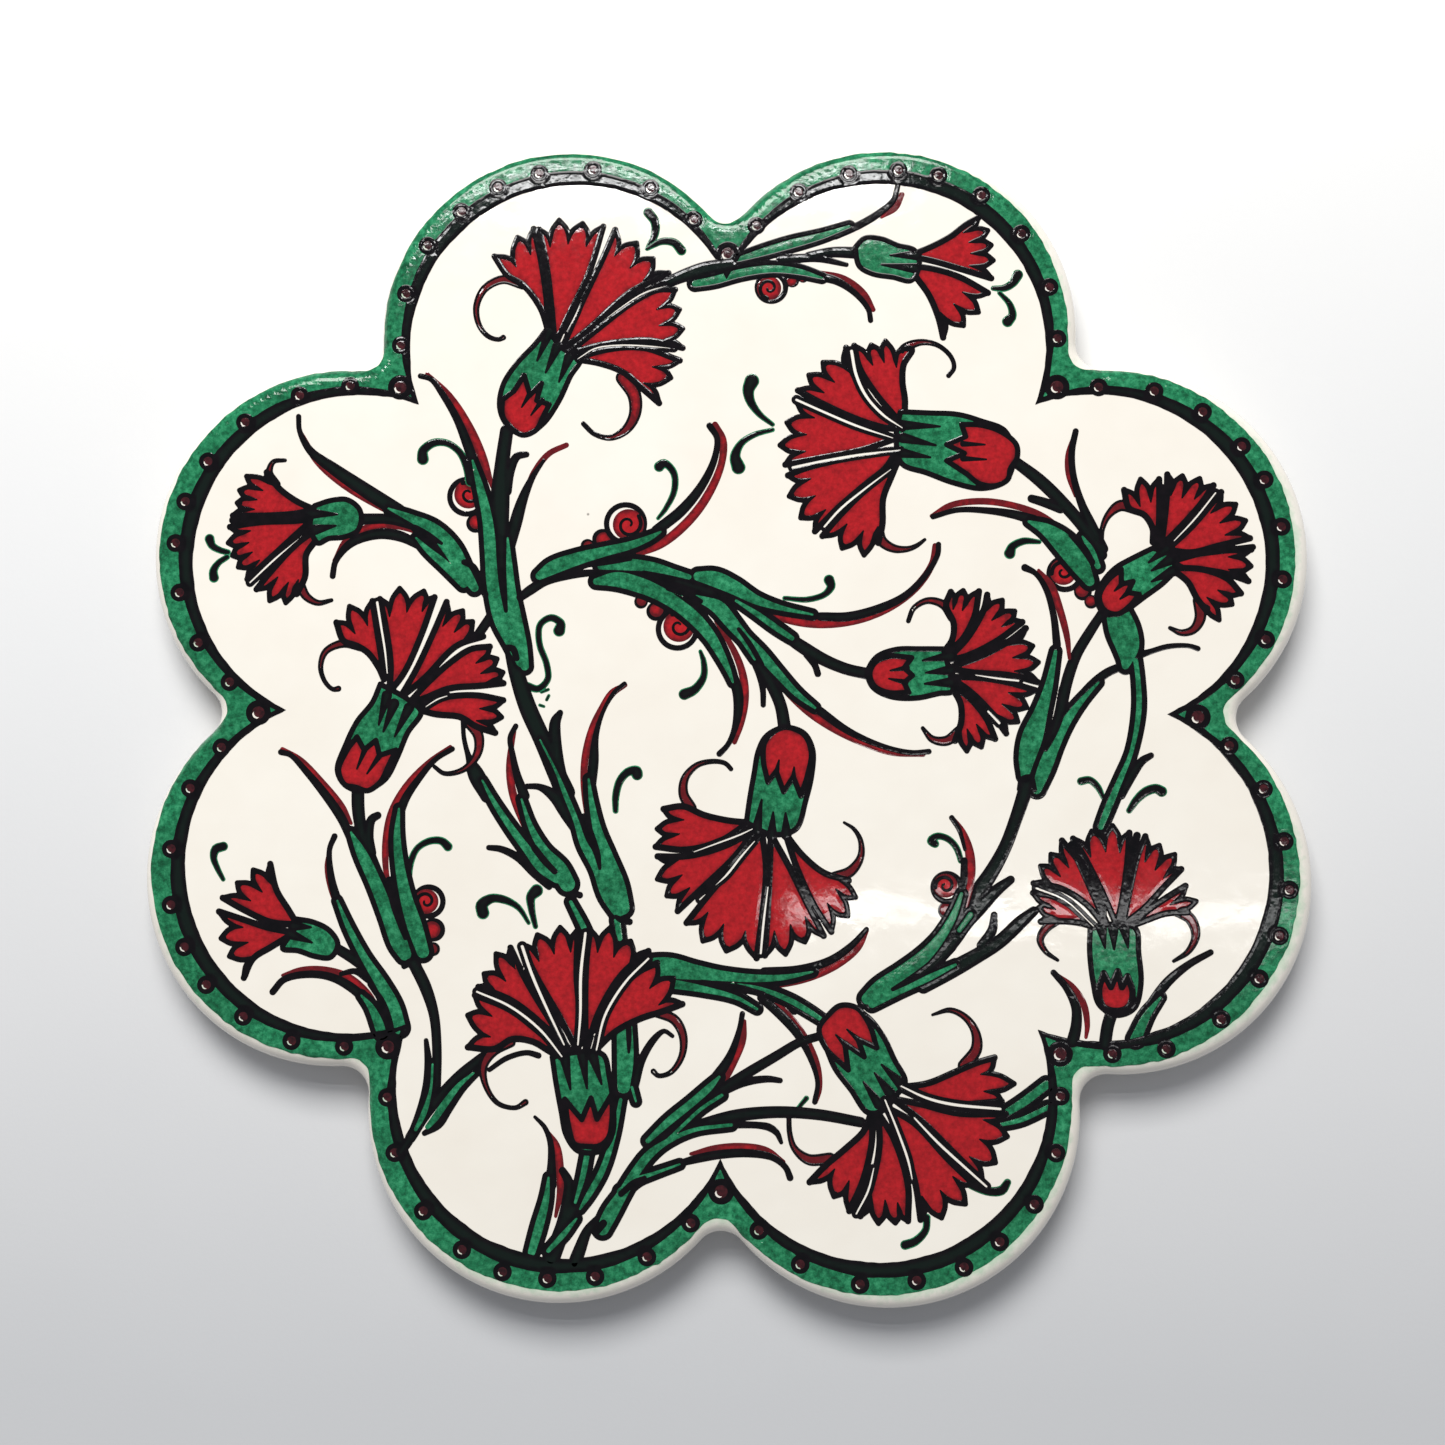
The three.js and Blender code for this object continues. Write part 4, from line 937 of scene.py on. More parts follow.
            [(7.8, -41.6, 0.5), (10.2, -44.2, 0.9), (12.4, -47.4, 0.9), (13.8, -51, 0.9), (14, -54, 0.8),
             (13.5, -55.8, 0.6)]],
        dark=[
            [(20.8, -31, 0.7), (18.6, -33.4, 1), (15.4, -35.6, 1.2), (11, -36.9, 1.3), (6, -37.2, 1.2)],
            [(5.6, -41, 1.2), (8.4, -43.4, 1.4), (10.8, -46, 1.3), (12.6, -49.2, 0.9), (13.8, -53, 0.7),
             (13.4, -55.8, 0.8)],
            [(8.8, -41.2, 1), (10.4, -42.8, 1.2)]],
        green=[
            [(-12, -36.6, 2), (-8, -36.8, 3), (-4, -37.4, 2.2), (0, -37.9, 1.5), (5, -38.2, 1.1),
             (9, -38, 0.8), (13, -37.2, 0.3)],
            [(-8, -39, 1.4), (-3, -39.8, 1), (2, -41, 0.6), (5, -42.6, 0.4)],
            [(0, -39, 0.5), (5, -39.6, 0.6), (9.5, -41.2, 0.8), (12.4, -42.8, 0.8), (14.6, -44.2, 0.6)]],
        ribs=[[(-3, -38.8, 0.7), (2, -39.4, 0.8), (6, -40.4, 0.6)]],
    ),
    dict(   # the strip and stems behind the large carnation at the bottom
        red=[
            [(-25, -60.6, 0.4), (-23.9, -62.5, 1.1), (-23.3, -65.5, 1.1), (-23.2, -69, 0.9),
             (-23.8, -72.5, 0.4)]],
        dark=[
            [(-27, -58.4, 0.5), (-25.6, -59.8, 0.7), (-24.7, -62, 0.9), (-24.5, -65, 1.2),
             (-24.6, -68, 1.8)],
            [(-22.9, -66, 1.1), (-22, -67.6, 1.4), (-22.1, -70, 1.6), (-22.8, -73.5, 1.8),
             (-23.8, -76.5, 2)],
            [(-21.4, -71, 2.2), (-22.8, -74.5, 2.2), (-24.4, -78.5, 2.6)],
            [(-17.6, -72.6, 1), (-19.2, -74.5, 1.4), (-20.2, -77, 1.8), (-21, -79.2, 2)],
            [(-33.7, -51.7, 0.7), (-31.2, -50, 0.8), (-28.3, -49.2, 0.8), (-26.6, -49.6, 0.9)],
            [(-12.6, -53.5, 1.4), (-11.6, -50, 1.2), (-9.8, -47, 1), (-8.4, -45.9, 0.7),
             (-7.2, -46.6, 0.6)],
            [(-43, -47.6, 0.7), (-42.6, -51, 1.2), (-42.7, -54, 1.4), (-43.5, -57.5, 1.4),
             (-45, -61.5, 1.4), (-46.4, -63.6, 1.4)],
            [(-41.5, -53, 1.5), (-42.4, -56.6, 1.5), (-43.6, -59, 1.4)],
            [(-34.8, -50, 1.5), (-38, -52.6, 1.6), (-41, -55.8, 1.6), (-43.2, -58.6, 1.6),
             (-45, -61.5, 1.6)],
            [(-34.9, -51.6, 1), (-37.6, -54.4, 1.2), (-39.6, -57.4, 1.3), (-41, -59.6, 1.3),
             (-43, -60.9, 0.8)]],
        green=[
            [(-27.2, -77.6, 1.1), (-26.2, -74, 1.3), (-25.2, -70, 0.9), (-24.9, -67, 0.3)],
            [(-19.3, -63.2, 0.8), (-20, -67, 0.8), (-21, -70.5, 0.4)],
            [(-14.6, -55.8, 0.5), (-15.6, -61, 0.7), (-17.2, -66, 0.9), (-19.2, -69.6, 0.8),
             (-20.3, -71.4, 0.3)],
            [(-20.8, -72.8, 0.3), (-22.6, -75, 0.8), (-24.8, -77.4, 0.6)],
            [(-14.2, -44.5, 2.2), (-14, -50, 2.4), (-14.2, -54, 1.8)],
            [(-13, -54, 0.4), (-12.4, -56, 0.3)]],
        ribs=[[(-13.6, -44.5, 0.8), (-13.5, -47, 0.8), (-13.5, -49, 0.4)]],
        glints=[
            [(-42, -51, 0.3), (-42.2, -54.6, 0.4), (-43.2, -58.2, 0.8), (-44.3, -60.4, 0.5)],
            [(-36, -52.2, 0.3), (-38, -53.9, 0.7), (-39.8, -56.2, 1), (-41.6, -58.8, 1),
             (-42.6, -60, 0.7)]],
    ),
    dict(   # the large leaf at the bottom
        red=[
            [(3.2, -44.4, 0.5), (3, -47, 0.9), (1.8, -50, 1), (0.2, -53.2, 0.8), (-0.8, -54.6, 0.4)],
            [(-4.4, -63.4, 0.4), (-1, -62.6, 0.9), (3, -62.3, 1), (6.5, -62.8, 0.9), (8.9, -64.4, 0.6)]],
        dark=[
            [(2.9, -43.3, 0.8), (2.5, -45.5, 0.8), (1.2, -49.3, 1.2), (-0.8, -52.4, 1.6), (-3, -54.8, 1.4)],
            [(-8, -65.4, 0.6), (-4, -64.2, 1.2), (0, -63.4, 1.3), (4, -63.2, 1.2), (7.5, -63.8, 1),
             (9.3, -65.2, 0.9), (9.9, -66.6, 1)],
            [(-6, -57.6, 0.8), (-2, -55.4, 1.3), (3, -52.2, 1.5), (8, -49.2, 1.4), (11, -47.4, 1.3),
             (14, -46.4, 1.2)],
            [(-2, -55.6, 1.2), (3, -53.2, 1.2), (6.6, -52.6, 1), (8.4, -52.8, 0.8)],
            [(-4, -59.4, 1.4), (2, -57.9, 1.8), (8, -57.3, 1.7), (14, -57.6, 1.6), (20, -58.6, 1.5)],
            [(1.8, -59.2, 1), (5.2, -59.2, 1), (6.9, -59.5, 1.1), (8, -60.3, 0.9), (8.6, -61.6, 0.6)]],
        green=[
            [(-17, -74.2, 1.8), (-15.8, -71.8, 2), (-14.2, -69.2, 1.5), (-12.4, -66.2, 1.3),
             (-10.4, -63.6, 1.2), (-8, -61.8, 0.8), (-4, -60, 0.6), (1.4, -59.2, 0.5)],
            [(-14.4, -68.9, 1.2), (-12, -67.1, 0.8), (-9.6, -66.2, 0.5), (-6, -64.9, 0.3)],
            [(-10.6, -61.6, 0.7), (-7.6, -58.8, 1.1), (-4.4, -56.2, 1.1), (-1.8, -53.9, 1),
             (-0.4, -52.4, 0.4)],
            [(-9, -62.6, 0.4), (-6, -59.8, 0.5), (-3, -57, 0.5), (0, -55, 0.5)]],
        ribs=[
            [(-14.4, -69.2, 0.9), (-12.6, -67.6, 0.9), (-11, -66.8, 0.5)],
            [(-17.8, -74.4, 1.2), (-16.9, -73.4, 1.1)]],
    ),
    dict(   # the leaves beside the carnation at the lower right edge
        red=[
            [(48.4, -37.4, 0.4), (50.4, -39, 0.8), (52, -41.5, 0.9), (52.5, -44.5, 0.7),
             (52.3, -46.2, 0.4)]],
        dark=[
            [(47.7, -37, 0.9), (49.6, -39.2, 1.1), (50.9, -42, 1.4), (50.9, -44.6, 1.6),
             (50.4, -46.8, 1.8)],
            [(70.2, -33.9, 0.9), (67, -35.7, 1.1), (64, -38.2, 1.4), (61.6, -41.4, 1.4), (60, -44, 1.2)],
            [(56, -42.6, 1.8), (55.4, -44.6, 1.8), (55, -47.2, 1.8)]],
        green=[
            [(63, -40.4, 0.3), (61, -43, 1.1), (59.4, -46.4, 1.6)],
            [(40.6, -57.2, 1), (43.2, -55.6, 1.2), (46.6, -53, 1.2)],
            [(39.8, -58.8, 0.5), (43, -58, 0.7), (46.8, -56.2, 0.7)]],
    ),
]

# Loose hooks and tendrils: strokes of (x, y, width).
HOOKS = [
    [(-45, 37.8, 1.5), (-45, 39, 1.2), (-43.5, 40.2, 1), (-41.5, 40.2, 0.8), (-39.6, 38.9, 0.8),
     (-38.4, 36.6, 1), (-37.8, 34.5, 1.4)],
    [(-24.4, 12.3, 1.5), (-24.2, 13.4, 1), (-25.6, 14.2, 0.8), (-27.2, 13.2, 0.7), (-27.3, 10.4, 0.7),
     (-26.2, 7.4, 0.7), (-26, 5.1, 0.7), (-27.4, 3.7, 0.8), (-29.2, 4.2, 0.9)],
    [(-9.9, 36.7, 1.3), (-9.2, 37.2, 1), (-7.8, 35.9, 0.8), (-7.6, 33.3, 0.7), (-8.9, 30.4, 0.5),
     (-10, 29, 0.3)],
    [(-5.9, 3, 1.4), (-4.4, 3.7, 1.1), (-3.1, 5.6, 0.8), (-3.1, 7.8, 0.6), (-3.6, 9.3, 0.3)],
    [(3.7, 49.5, 1.9), (3.2, 48.2, 1.5), (3.5, 46.5, 1.1), (4.8, 44.6, 0.7), (6.8, 43, 0.4)],
    [(1.8, 36.6, 1.8), (1.3, 38.2, 1.3), (2.2, 40.2, 0.8), (4.2, 41.5, 0.6), (6.8, 42.2, 0.4)],
    [(42.9, 65.4, 1.3), (42.2, 64.2, 1), (40.9, 63.4, 0.8), (39.3, 63.4, 0.5)],
    [(41.4, 58.4, 1.4), (42.1, 59.3, 1), (41.7, 61, 0.7), (40.2, 62.7, 0.4)],
    [(15.2, 19.9, 1.3), (15.5, 19, 1), (14.6, 17.8, 0.7), (12, 17, 0.6), (8.7, 17.2, 0.4)],
    [(41.6, 23.9, 1.4), (42, 24.9, 1), (43.6, 25.7, 0.8), (45.9, 25.6, 0.4)],
    [(-76.6, 25.8, 1.2), (-76.2, 24.8, 0.9), (-75, 24.1, 0.7), (-73.8, 23.8, 0.6)],
    [(-75.8, 20, 1.2), (-75.9, 21, 1), (-75.2, 22.2, 0.7), (-73.9, 23.1, 0.6)],
    [(-11.9, 75, 1.2), (-10.9, 73.6, 1.1), (-10.9, 71.6, 0.9), (-12, 69.5, 0.4)],
    [(-6.9, 69.2, 1.2), (-8, 70.4, 1), (-9.8, 70.6, 0.8), (-12, 69.5, 0.4)],
    [(-15.8, -14.1, 0.6), (-15.8, -12, 0.8), (-15.2, -9.7, 0.9), (-14, -8.4, 1), (-12.8, -8.3, 1.3),
     (-12.7, -8.8, 1.4)],
    [(-27.3, -31, 0.5), (-27.9, -28.5, 0.8), (-28, -26.7, 1.2), (-27.2, -25.8, 1.6)],
    [(-28.3, -30.5, 0.3), (-29.8, -28.3, 0.6), (-31.8, -27.2, 0.9), (-33.8, -27, 1.1), (-35.2, -28, 1.5),
     (-35, -29.1, 1.6)],
    [(-73.4, -19.7, 1.1), (-74.5, -20.1, 1.1), (-74.8, -21.3, 0.8), (-74.2, -22.9, 0.6),
     (-73.3, -24.5, 0.4)],
    [(-46.2, -25, 1.1), (-45.8, -22, 0.8), (-44.8, -19.8, 0.7), (-43, -18.7, 0.8), (-41.2, -18.7, 0.9),
     (-40.3, -19.5, 1.1)],
    [(34.4, -21, 0.6), (33.8, -19.2, 0.7), (32.6, -17.9, 0.7), (31, -17.5, 0.8), (30.2, -18.2, 1.1),
     (30.7, -18.6, 0.9)],
    [(55, -11.8, 0.4), (54.2, -10.2, 0.7), (53, -9.2, 0.8), (51.8, -9.4, 0.9)],
    [(58.7, -13.6, 0.6), (59.8, -12, 0.9), (61.2, -10.8, 1.1), (62.6, -10.4, 1.1), (63.4, -10.8, 1.3)],
    [(29.5, -72, 0.8), (29.3, -73.8, 0.8), (27.8, -75.4, 1), (26.4, -75.9, 1.1)],
    [(12.2, -55.3, 0.5), (11.6, -56, 0.4), (10.8, -57, 0.4)],
    [(33.6, -66, 0.8), (36, -67.4, 0.9), (38.4, -68.2, 1), (40.2, -68, 1.1), (41, -66.9, 0.8)],
    [(-26.9, 3.2, 0.15), (-25.9, 3.6, 0.2)],
    [(-26.1, 2.1, 0.2), (-25.8, 2.7, 0.2)],
    [(-27.1, 1.3, 0.2), (-26.5, 1.1, 0.15)],
]

# A scroll is its centre, its radius, the way its coil opens in degrees and its side buds.
SCROLLS = [
    dict(centre=(-38.3, 32.2), radius=3, opens=60, buds=[(-37, 28.2, 1.4)]),
    dict(centre=(-14.8, 28.2), radius=3.2, opens=-20, buds=[(-18.2, 25.9, 1.5), (-20.4, 24.9, 1)]),
    dict(centre=(-7, 12.6), radius=3.2, opens=60, buds=[(-10.2, 15.2, 1.4), (-12.4, 16.6, 1)]),
    dict(centre=(6.5, 63.6), radius=2.5, opens=200, buds=[(9.6, 64.6, 1), (11.2, 65, 0.7)]),
    dict(centre=(49.6, 20.9), radius=2.7, opens=130, buds=[(52.2, 18.3, 1.3), (53.4, 16.8, 1)]),
    dict(centre=(32.4, -24.9), radius=2.4, opens=130, buds=[(32.4, -28.2, 1.3), (32.2, -30.2, 0.9)]),
    dict(centre=(-43, -27.5), radius=2.5, opens=180, buds=[(-42.2, -31.6, 1.7), (-42.2, -34.4, 1)]),
]


def joined(*runs):
    """One closed outline from smooth runs that meet at corners."""
    return np.vstack([spline(run)[:-1] for run in runs])


def toward(point, goal, distance):
    """The point that lies that far from one point on the way to another."""
    step = np.subtract(goal, point)
    return np.add(point, step * distance / np.hypot(*step))


TOOTH_DEPTH = 2.2           # of the valley between teeth that are WIDE_TOOTH or more apart
WIDE_TOOTH = 2.6
TOOTH_SWELL = 0.3
VALLEY_LENGTH = 1.2         # of the dark strokes that run in from the valleys and the tips
TIP_LENGTH = 0.5

# Widths of the black lines. A pair is what a line has at its start and its end.
PETAL_LINE = 0.78
PETAL_SIDE_LINE = 0.95
VALLEY_LINE = (0.85, 0.25)
TIP_LINE = (0.7, 0.6)
CURL_LINE = 0.36
CALYX_LINE = 0.8
BOWL_LINE = 0.8
SPIKE_LINE = (1.6, 0.35)
RIB_LINE = (0.9, 0.3)


def tooth_side(tip, valley, root):
    """From the tip of a tooth to the valley beside it, swollen like a fingertip."""
    tip, valley = np.asarray(tip, float), np.asarray(valley, float)
    axis = np.subtract(tip, root) / math.dist(tip, root)
    half = (valley - tip) / 2
    out = half - axis * (half @ axis)
    return [tip, tip + half + out / max(np.hypot(*out), NEAR) * TOOTH_SWELL, valley]


def paint_petal(painting, root, side, tips, back):
    """A red fan with a toothed edge, and with dark strokes between and on its teeth."""
    valleys = []
    for a, b in zip(tips, tips[1:]):
        middle = np.add(a, b) / 2
        valleys.append(toward(middle, root, TOOTH_DEPTH * min(1, math.dist(a, b) / WIDE_TOOTH)))
    runs = [[root, *side, tips[0]]]
    for tip, valley, following in zip(tips, valleys, tips[1:]):
        runs += [tooth_side(tip, valley, root), tooth_side(following, valley, root)[::-1]]
    runs.append([tips[-1], *back, root])
    painting.shape("red", joined(*runs), PETAL_LINE)
    for run in (runs[0], runs[-1]):
        painting.line([(*point, PETAL_SIDE_LINE) for point in run])
    for valley in valleys:
        painting.taper(valley, toward(valley, root, VALLEY_LENGTH), VALLEY_LINE)
    for tip in tips:
        painting.taper(tip, toward(tip, root, TIP_LENGTH), TIP_LINE)


def paint_carnation(painting, petals, calyx, spikes, curls=(), bowl=(), crown=(), ribs=(),
                    bowl_edge=BOWL_LINE):
    painting.cored(curls, "red", CURL_LINE)
    for petal in petals:
        paint_petal(painting, *petal)
    painting.shape("green", spline([*calyx, calyx[0]])[:-1], CALYX_LINE)
    for start, end in spikes:
        painting.taper(start, end, SPIKE_LINE)
    if bowl:
        corners = [bowl[-1], *crown, bowl[0]]
        painting.shape("red", joined(bowl, *zip(corners, corners[1:])), bowl_edge)
    for start, end in ribs:
        painting.taper(start, end, RIB_LINE)


# Seams between petals: black strokes, each with a sliver of bare glaze down its middle.
# The last number of a point is the sliver's width, nothing where the seam is solid black.
SEAMS = [
    [(-9.1, 63.9, 0.07), (-12.4, 62.8, 0.22), (-16.5, 60.1, 0.14), (-20, 57.3, 0)],
    [(-21.8, 61.4, 0.07), (-22.6, 59.4, 0.18), (-23.8, 57.1, 0.07)],
    [(-22.1, 52.9, 0.14), (-19.7, 54.4, 0.22), (-16.5, 54.9, 0.22), (-12.1, 54.8, 0.22),
     (-7.9, 54.4, 0.07)],
    [(18.4, 54, 0.43), (19.1, 50.4, 0.43), (20.6, 47.2, 0.4), (23, 44.5, 0.36), (25.9, 42.5, 0.14)],
    [(10.3, 46.7, 0.36), (14.5, 44.8, 0.36), (19.2, 42.8, 0.36), (24.5, 41, 0.14)],
    [(9.8, 36.6, 0.36), (14.5, 37.6, 0.36), (19.8, 38.5, 0.36), (25.6, 39.2, 0.14)],
    [(14.5, 27.8, 0.29), (16.8, 30.4, 0.36), (20.4, 33.4, 0.29), (24.2, 36.3, 0.14)],
    [(-4.3, -20, 0.14), (-1.1, -18.8, 0.22), (2.3, -17.5, 0.25), (4.2, -16.6, 0.14)],
    [(-3.4, -26.9, 0.22), (-1.8, -25.4, 0), (0.4, -23.4, 0.29), (2.6, -20.6, 0.29), (4.5, -18.4, 0.14)],
    [(5.5, -34.6, 0.29), (5.9, -30, 0.32), (6.5, -25, 0.14)],
    [(40, -56.5, 0.36), (33, -55.9, 0.43), (29.3, -55, 0.36), (25.8, -53.4, 0.22)],
    [(38, -67.5, 0.29), (34.9, -64.8, 0.36), (31.1, -61.4, 0.36), (27.7, -57.9, 0.22)],
    [(27.4, -66.6, 0.14), (26.8, -63.9, 0.32), (25.2, -59.5, 0.29), (23.5, -55.4, 0.22)],
    [(19.4, -71.6, 0.22), (21.1, -68.3, 0.29), (21.9, -65.1, 0.14)],
    [(-51.4, 16.4, 0.36), (-50.8, 13.1, 0.32), (-50.1, 9.2, 0.29), (-49.7, 5.9, 0.14)],
    [(-43.9, 1, 0.14), (-42.2, 2.1, 0.22), (-40.8, 2.6, 0.14)],
    [(42.8, 5.2, 0.29), (40, 5.5, 0.29), (36.6, 6, 0.14)],
    [(38.4, 0.7, 0.29), (40, -1, 0.36)],
    [(-29.2, -33.9, 0.43), (-27.7, -38, 0.43), (-25.4, -43, 0.36), (-22.9, -48, 0.22)],
    [(-20, -31.9, 0.36), (-20.6, -37.9, 0.43), (-20.6, -43.7, 0.36), (-20.9, -48, 0.22)],
    [(-10.8, -35.5, 0.29), (-14.1, -38.9, 0.36), (-17, -43.7, 0.36), (-18.2, -48.7, 0.22)],
    [(-35.7, -40.5, 0.29), (-30.8, -42.6, 0.36), (-26.4, -45.9, 0.36), (-23.2, -49.7, 0.22)],
    [(50.4, -18.6, 0), (53.1, -24.8, 0), (55.2, -29.7, 0)],
    [(59.8, -17.2, 0), (58.6, -24.8, 0), (57.5, -30.2, 0)],
    [(45.3, -24.9, 0.29), (49.4, -26.6, 0.22), (53.5, -30.3, 0.14)],
    [(63.9, 33.6, 0), (63.7, 29, 0), (63.1, 25, 0)],
    [(71.6, 32.9, 0.22), (68.5, 29, 0.25), (65.5, 25.8, 0.14)],
    [(76.6, 24.6, 0), (70.6, 24.3, 0), (65.5, 23, 0)],
    [(-73.2, 28.6, 0), (-67, 28.9, 0), (-61, 29.6, 0)],
    [(-70.4, 19.3, 0.22), (-67, 22.6, 0.29), (-64.5, 24.8, 0.14), (-61.5, 27.4, 0)],
]
SEAM_EDGE = 0.56            # black on either side of a sliver

SPRAY_EDGE = 0.8            # black round the green of a leaf
RED_SPREAD = 0.1            # red strokes come out this much wider than drawn
HOOK_HALO = 0.3             # the green that spreads from under a hook

BUD_SHIFT = 0.14            # parts of a bud's radius: how far its core lies off its centre,
BUD_CORE = 0.72             # and the core's radius
COIL_POINTS = 14
COIL_TURN = 420             # degrees
COIL_START = 0.12           # parts of the scroll's radius: how far from the core's centre it starts,
COIL_GROWTH = 0.5           # and how much further out it ends
COIL_WIDTH = 0.35           # of the line where it starts,
COIL_WIDENING = 0.25        # and what is added to it by the end


def paint_spray(painting, red=(), dark=(), green=(), ribs=(), glints=()):
    for stroke in red:
        painting.line(widened(stroke, RED_SPREAD), "red")
    for stroke in dark:
        painting.line(stroke)
    painting.cored([widened(stroke, 2 * SPRAY_EDGE) for stroke in green], "green", SPRAY_EDGE)
    for stroke in ribs:
        painting.line(stroke)
    for stroke in glints:
        painting.lay(None, *stroke_field(stroke))
        painting.line(stroke, "green")


def paint_bud(painting, centre, radius, turn):
    """A red disc inside a black ring, with a sliver of bare glaze left behind the disc."""
    painting.lay("black", *disc_field(centre, radius))
    painting.lay(None, *disc_field(centre, radius - SPRAY_EDGE))
    core = polar(centre, BUD_SHIFT * radius, turn)
    painting.lay("red", *disc_field(core, BUD_CORE * radius))
    return core


def paint_scroll(painting, centre, radius, opens, buds):
    """A large bud with a coiled line on it, and its small side buds."""
    turn = math.radians(opens)
    for x, y, size in buds:
        paint_bud(painting, (x, y), size, turn)
    core = paint_bud(painting, centre, radius, turn)
    coil = []
    for part in np.linspace(0, 1, COIL_POINTS):
        reach = radius * (COIL_START + COIL_GROWTH * part)
        place = polar(core, reach, turn + math.radians(COIL_TURN * part))
        coil.append((*place, COIL_WIDTH + COIL_WIDENING * part))
    painting.line(coil)


def paint_seam(painting, seam):
    area, field = stroke_field(widened(seam, 2 * SEAM_EDGE))
    painting.lay("black", area, field)
    has_sliver = any(width > 0 for _, _, width in seam)
    if has_sliver:
        painting.lay(None, area, field - SEAM_EDGE)


def paint_motifs():
    motifs = Painting()
    for scroll in SCROLLS:
        paint_scroll(motifs, **scroll)
    for hook in HOOKS:
        motifs.line(widened(hook, HOOK_HALO), "green")
        motifs.line(hook)
    for spray in SPRAYS:
        paint_spray(motifs, **spray)
    for carnation in CARNATIONS:
        paint_carnation(motifs, **carnation)
    for seam in SEAMS:
        paint_seam(motifs, seam)
    return motifs


# ---- Relief: a layer of paint as a closed mesh ---------------------------------------------

THINNING_PASSES = 5
SHORTEST_LOOP = 5           # loops with fewer points are dropped

# For each pattern of cell corners inside the paint, the cell edges that its border joins.
# The corners count 1, 2, 4 and 8, counterclockwise from the lower left.
BELOW, RIGHT, ABOVE, LEFT = range(4)
CROSSINGS = {
    1: [(BELOW, LEFT)], 2: [(RIGHT, BELOW)], 3: [(RIGHT, LEFT)], 4: [(ABOVE, RIGHT)],
    5: [(BELOW, LEFT), (ABOVE, RIGHT)], 6: [(ABOVE, BELOW)], 7: [(ABOVE, LEFT)], 8: [(LEFT, ABOVE)],
    9: [(BELOW, ABOVE)], 10: [(RIGHT, BELOW), (LEFT, ABOVE)], 11: [(RIGHT, ABOVE)], 12: [(LEFT, RIGHT)],
    13: [(BELOW, RIGHT)], 14: [(LEFT, BELOW)],
}


def sampled(field, points):
    """The field at any points, by bilinear interpolation."""
    place = ((points + REACH) / PITCH).clip(0, len(GRID) - 1 - NEAR)
    column, row = place.astype(int).T
    u, v = (place - place.astype(int)).T
    low = field[row, column] * (1 - u) + field[row, column + 1] * u
    high = field[row + 1, column] * (1 - u) + field[row + 1, column + 1] * u
    return low * (1 - v) + high * v


def crossing_points(field, level, ids):
    """Where the level crosses the grid edges with those numbers.

    An edge along x has the number of its left corner, and an edge along y that of its lower
    corner plus the number of corners.
    """
    across, cell = ids < field.size, ids % field.size
    row, column = np.divmod(cell, field.shape[1])
    first = field[row, column]
    second = field[np.where(across, row, row + 1), np.where(across, column + 1, column)]
    part = (level - first) / (second - first) * PITCH
    return np.stack([GRID[column] + np.where(across, part, 0), GRID[row] + np.where(across, 0, part)], 1)


def contour_loops(field, level):
    """Closed loops along a level of the field, by marching squares."""
    inside = field > level
    cases = (inside[:-1, :-1] + 2 * inside[:-1, 1:] + 4 * inside[1:, 1:] + 8 * inside[1:, :-1]).ravel()
    rows, columns = np.divmod(np.arange(cases.size), field.shape[1] - 1)
    corner = rows * field.shape[1] + columns
    numbers = {BELOW: corner, ABOVE: corner + field.shape[1], LEFT: corner + field.size,
               RIGHT: corner + 1 + field.size}
    following = {}
    for case, pairs in CROSSINGS.items():
        cells = np.nonzero(cases == case)[0]
        for start, end in pairs:
            following.update(zip(numbers[start][cells].tolist(), numbers[end][cells].tolist()))
    loops = []
    while following:
        first, step = following.popitem()
        ids = [first]
        while step != first:
            ids.append(step)
            step = following.pop(step)
        loops.append(crossing_points(field, level, np.array(ids)))
    return loops


def thinned(loop, tolerance=0.012, longest=1.2):
    """The loop without the points that lie almost on the line between their neighbours."""
    for _ in range(THINNING_PASSES):
        before, after = np.roll(loop, 1, 0), np.roll(loop, -1, 0)
        span, arm = after - before, loop - before
        length = np.hypot(*span.T)
        off = np.abs(span[:, 0] * arm[:, 1] - span[:, 1] * arm[:, 0]) / np.maximum(length, TINY)
        spare = (off < tolerance) & (length < longest)
        spare[::2] = False
        loop = loop[~spare]
    return loop


def filling_points(field, depth, spacing=0.5):
    """A lattice over the middle of the paint, so that no face cuts under a rounding of the glaze."""
    step = round(spacing / PITCH)
    rows, columns = np.nonzero(field[::step, ::step] > depth)
    return np.stack([GRID[columns * step], GRID[rows * step]], 1)


def triangulated(loops, inner_points):
    """Points and triangles between the loops, whose sides all stay sides of triangles."""
    edges = []
    for loop, start in zip(loops, np.cumsum([0] + [len(loop) for loop in loops])):
        ring = np.arange(start, start + len(loop))
        edges += np.stack([ring, np.roll(ring, -1)], 1).tolist()
    points = [Vector(point) for point in np.vstack([*loops, inner_points]).tolist()]
    points, _, faces, *_ = delaunay_2d_cdt(points, edges, [], 0, NEAR, False)
    return np.array([tuple(point) for point in points]), np.array(faces)


def open_sides(faces):
    """The sides that belong to one triangle only."""
    sides = np.concatenate([faces[:, [0, 1]], faces[:, [1, 2]], faces[:, [2, 0]]])
    _, first, count = np.unique(np.sort(sides, 1), axis=0, return_index=True, return_counts=True)
    return sides[first[count == 1]]


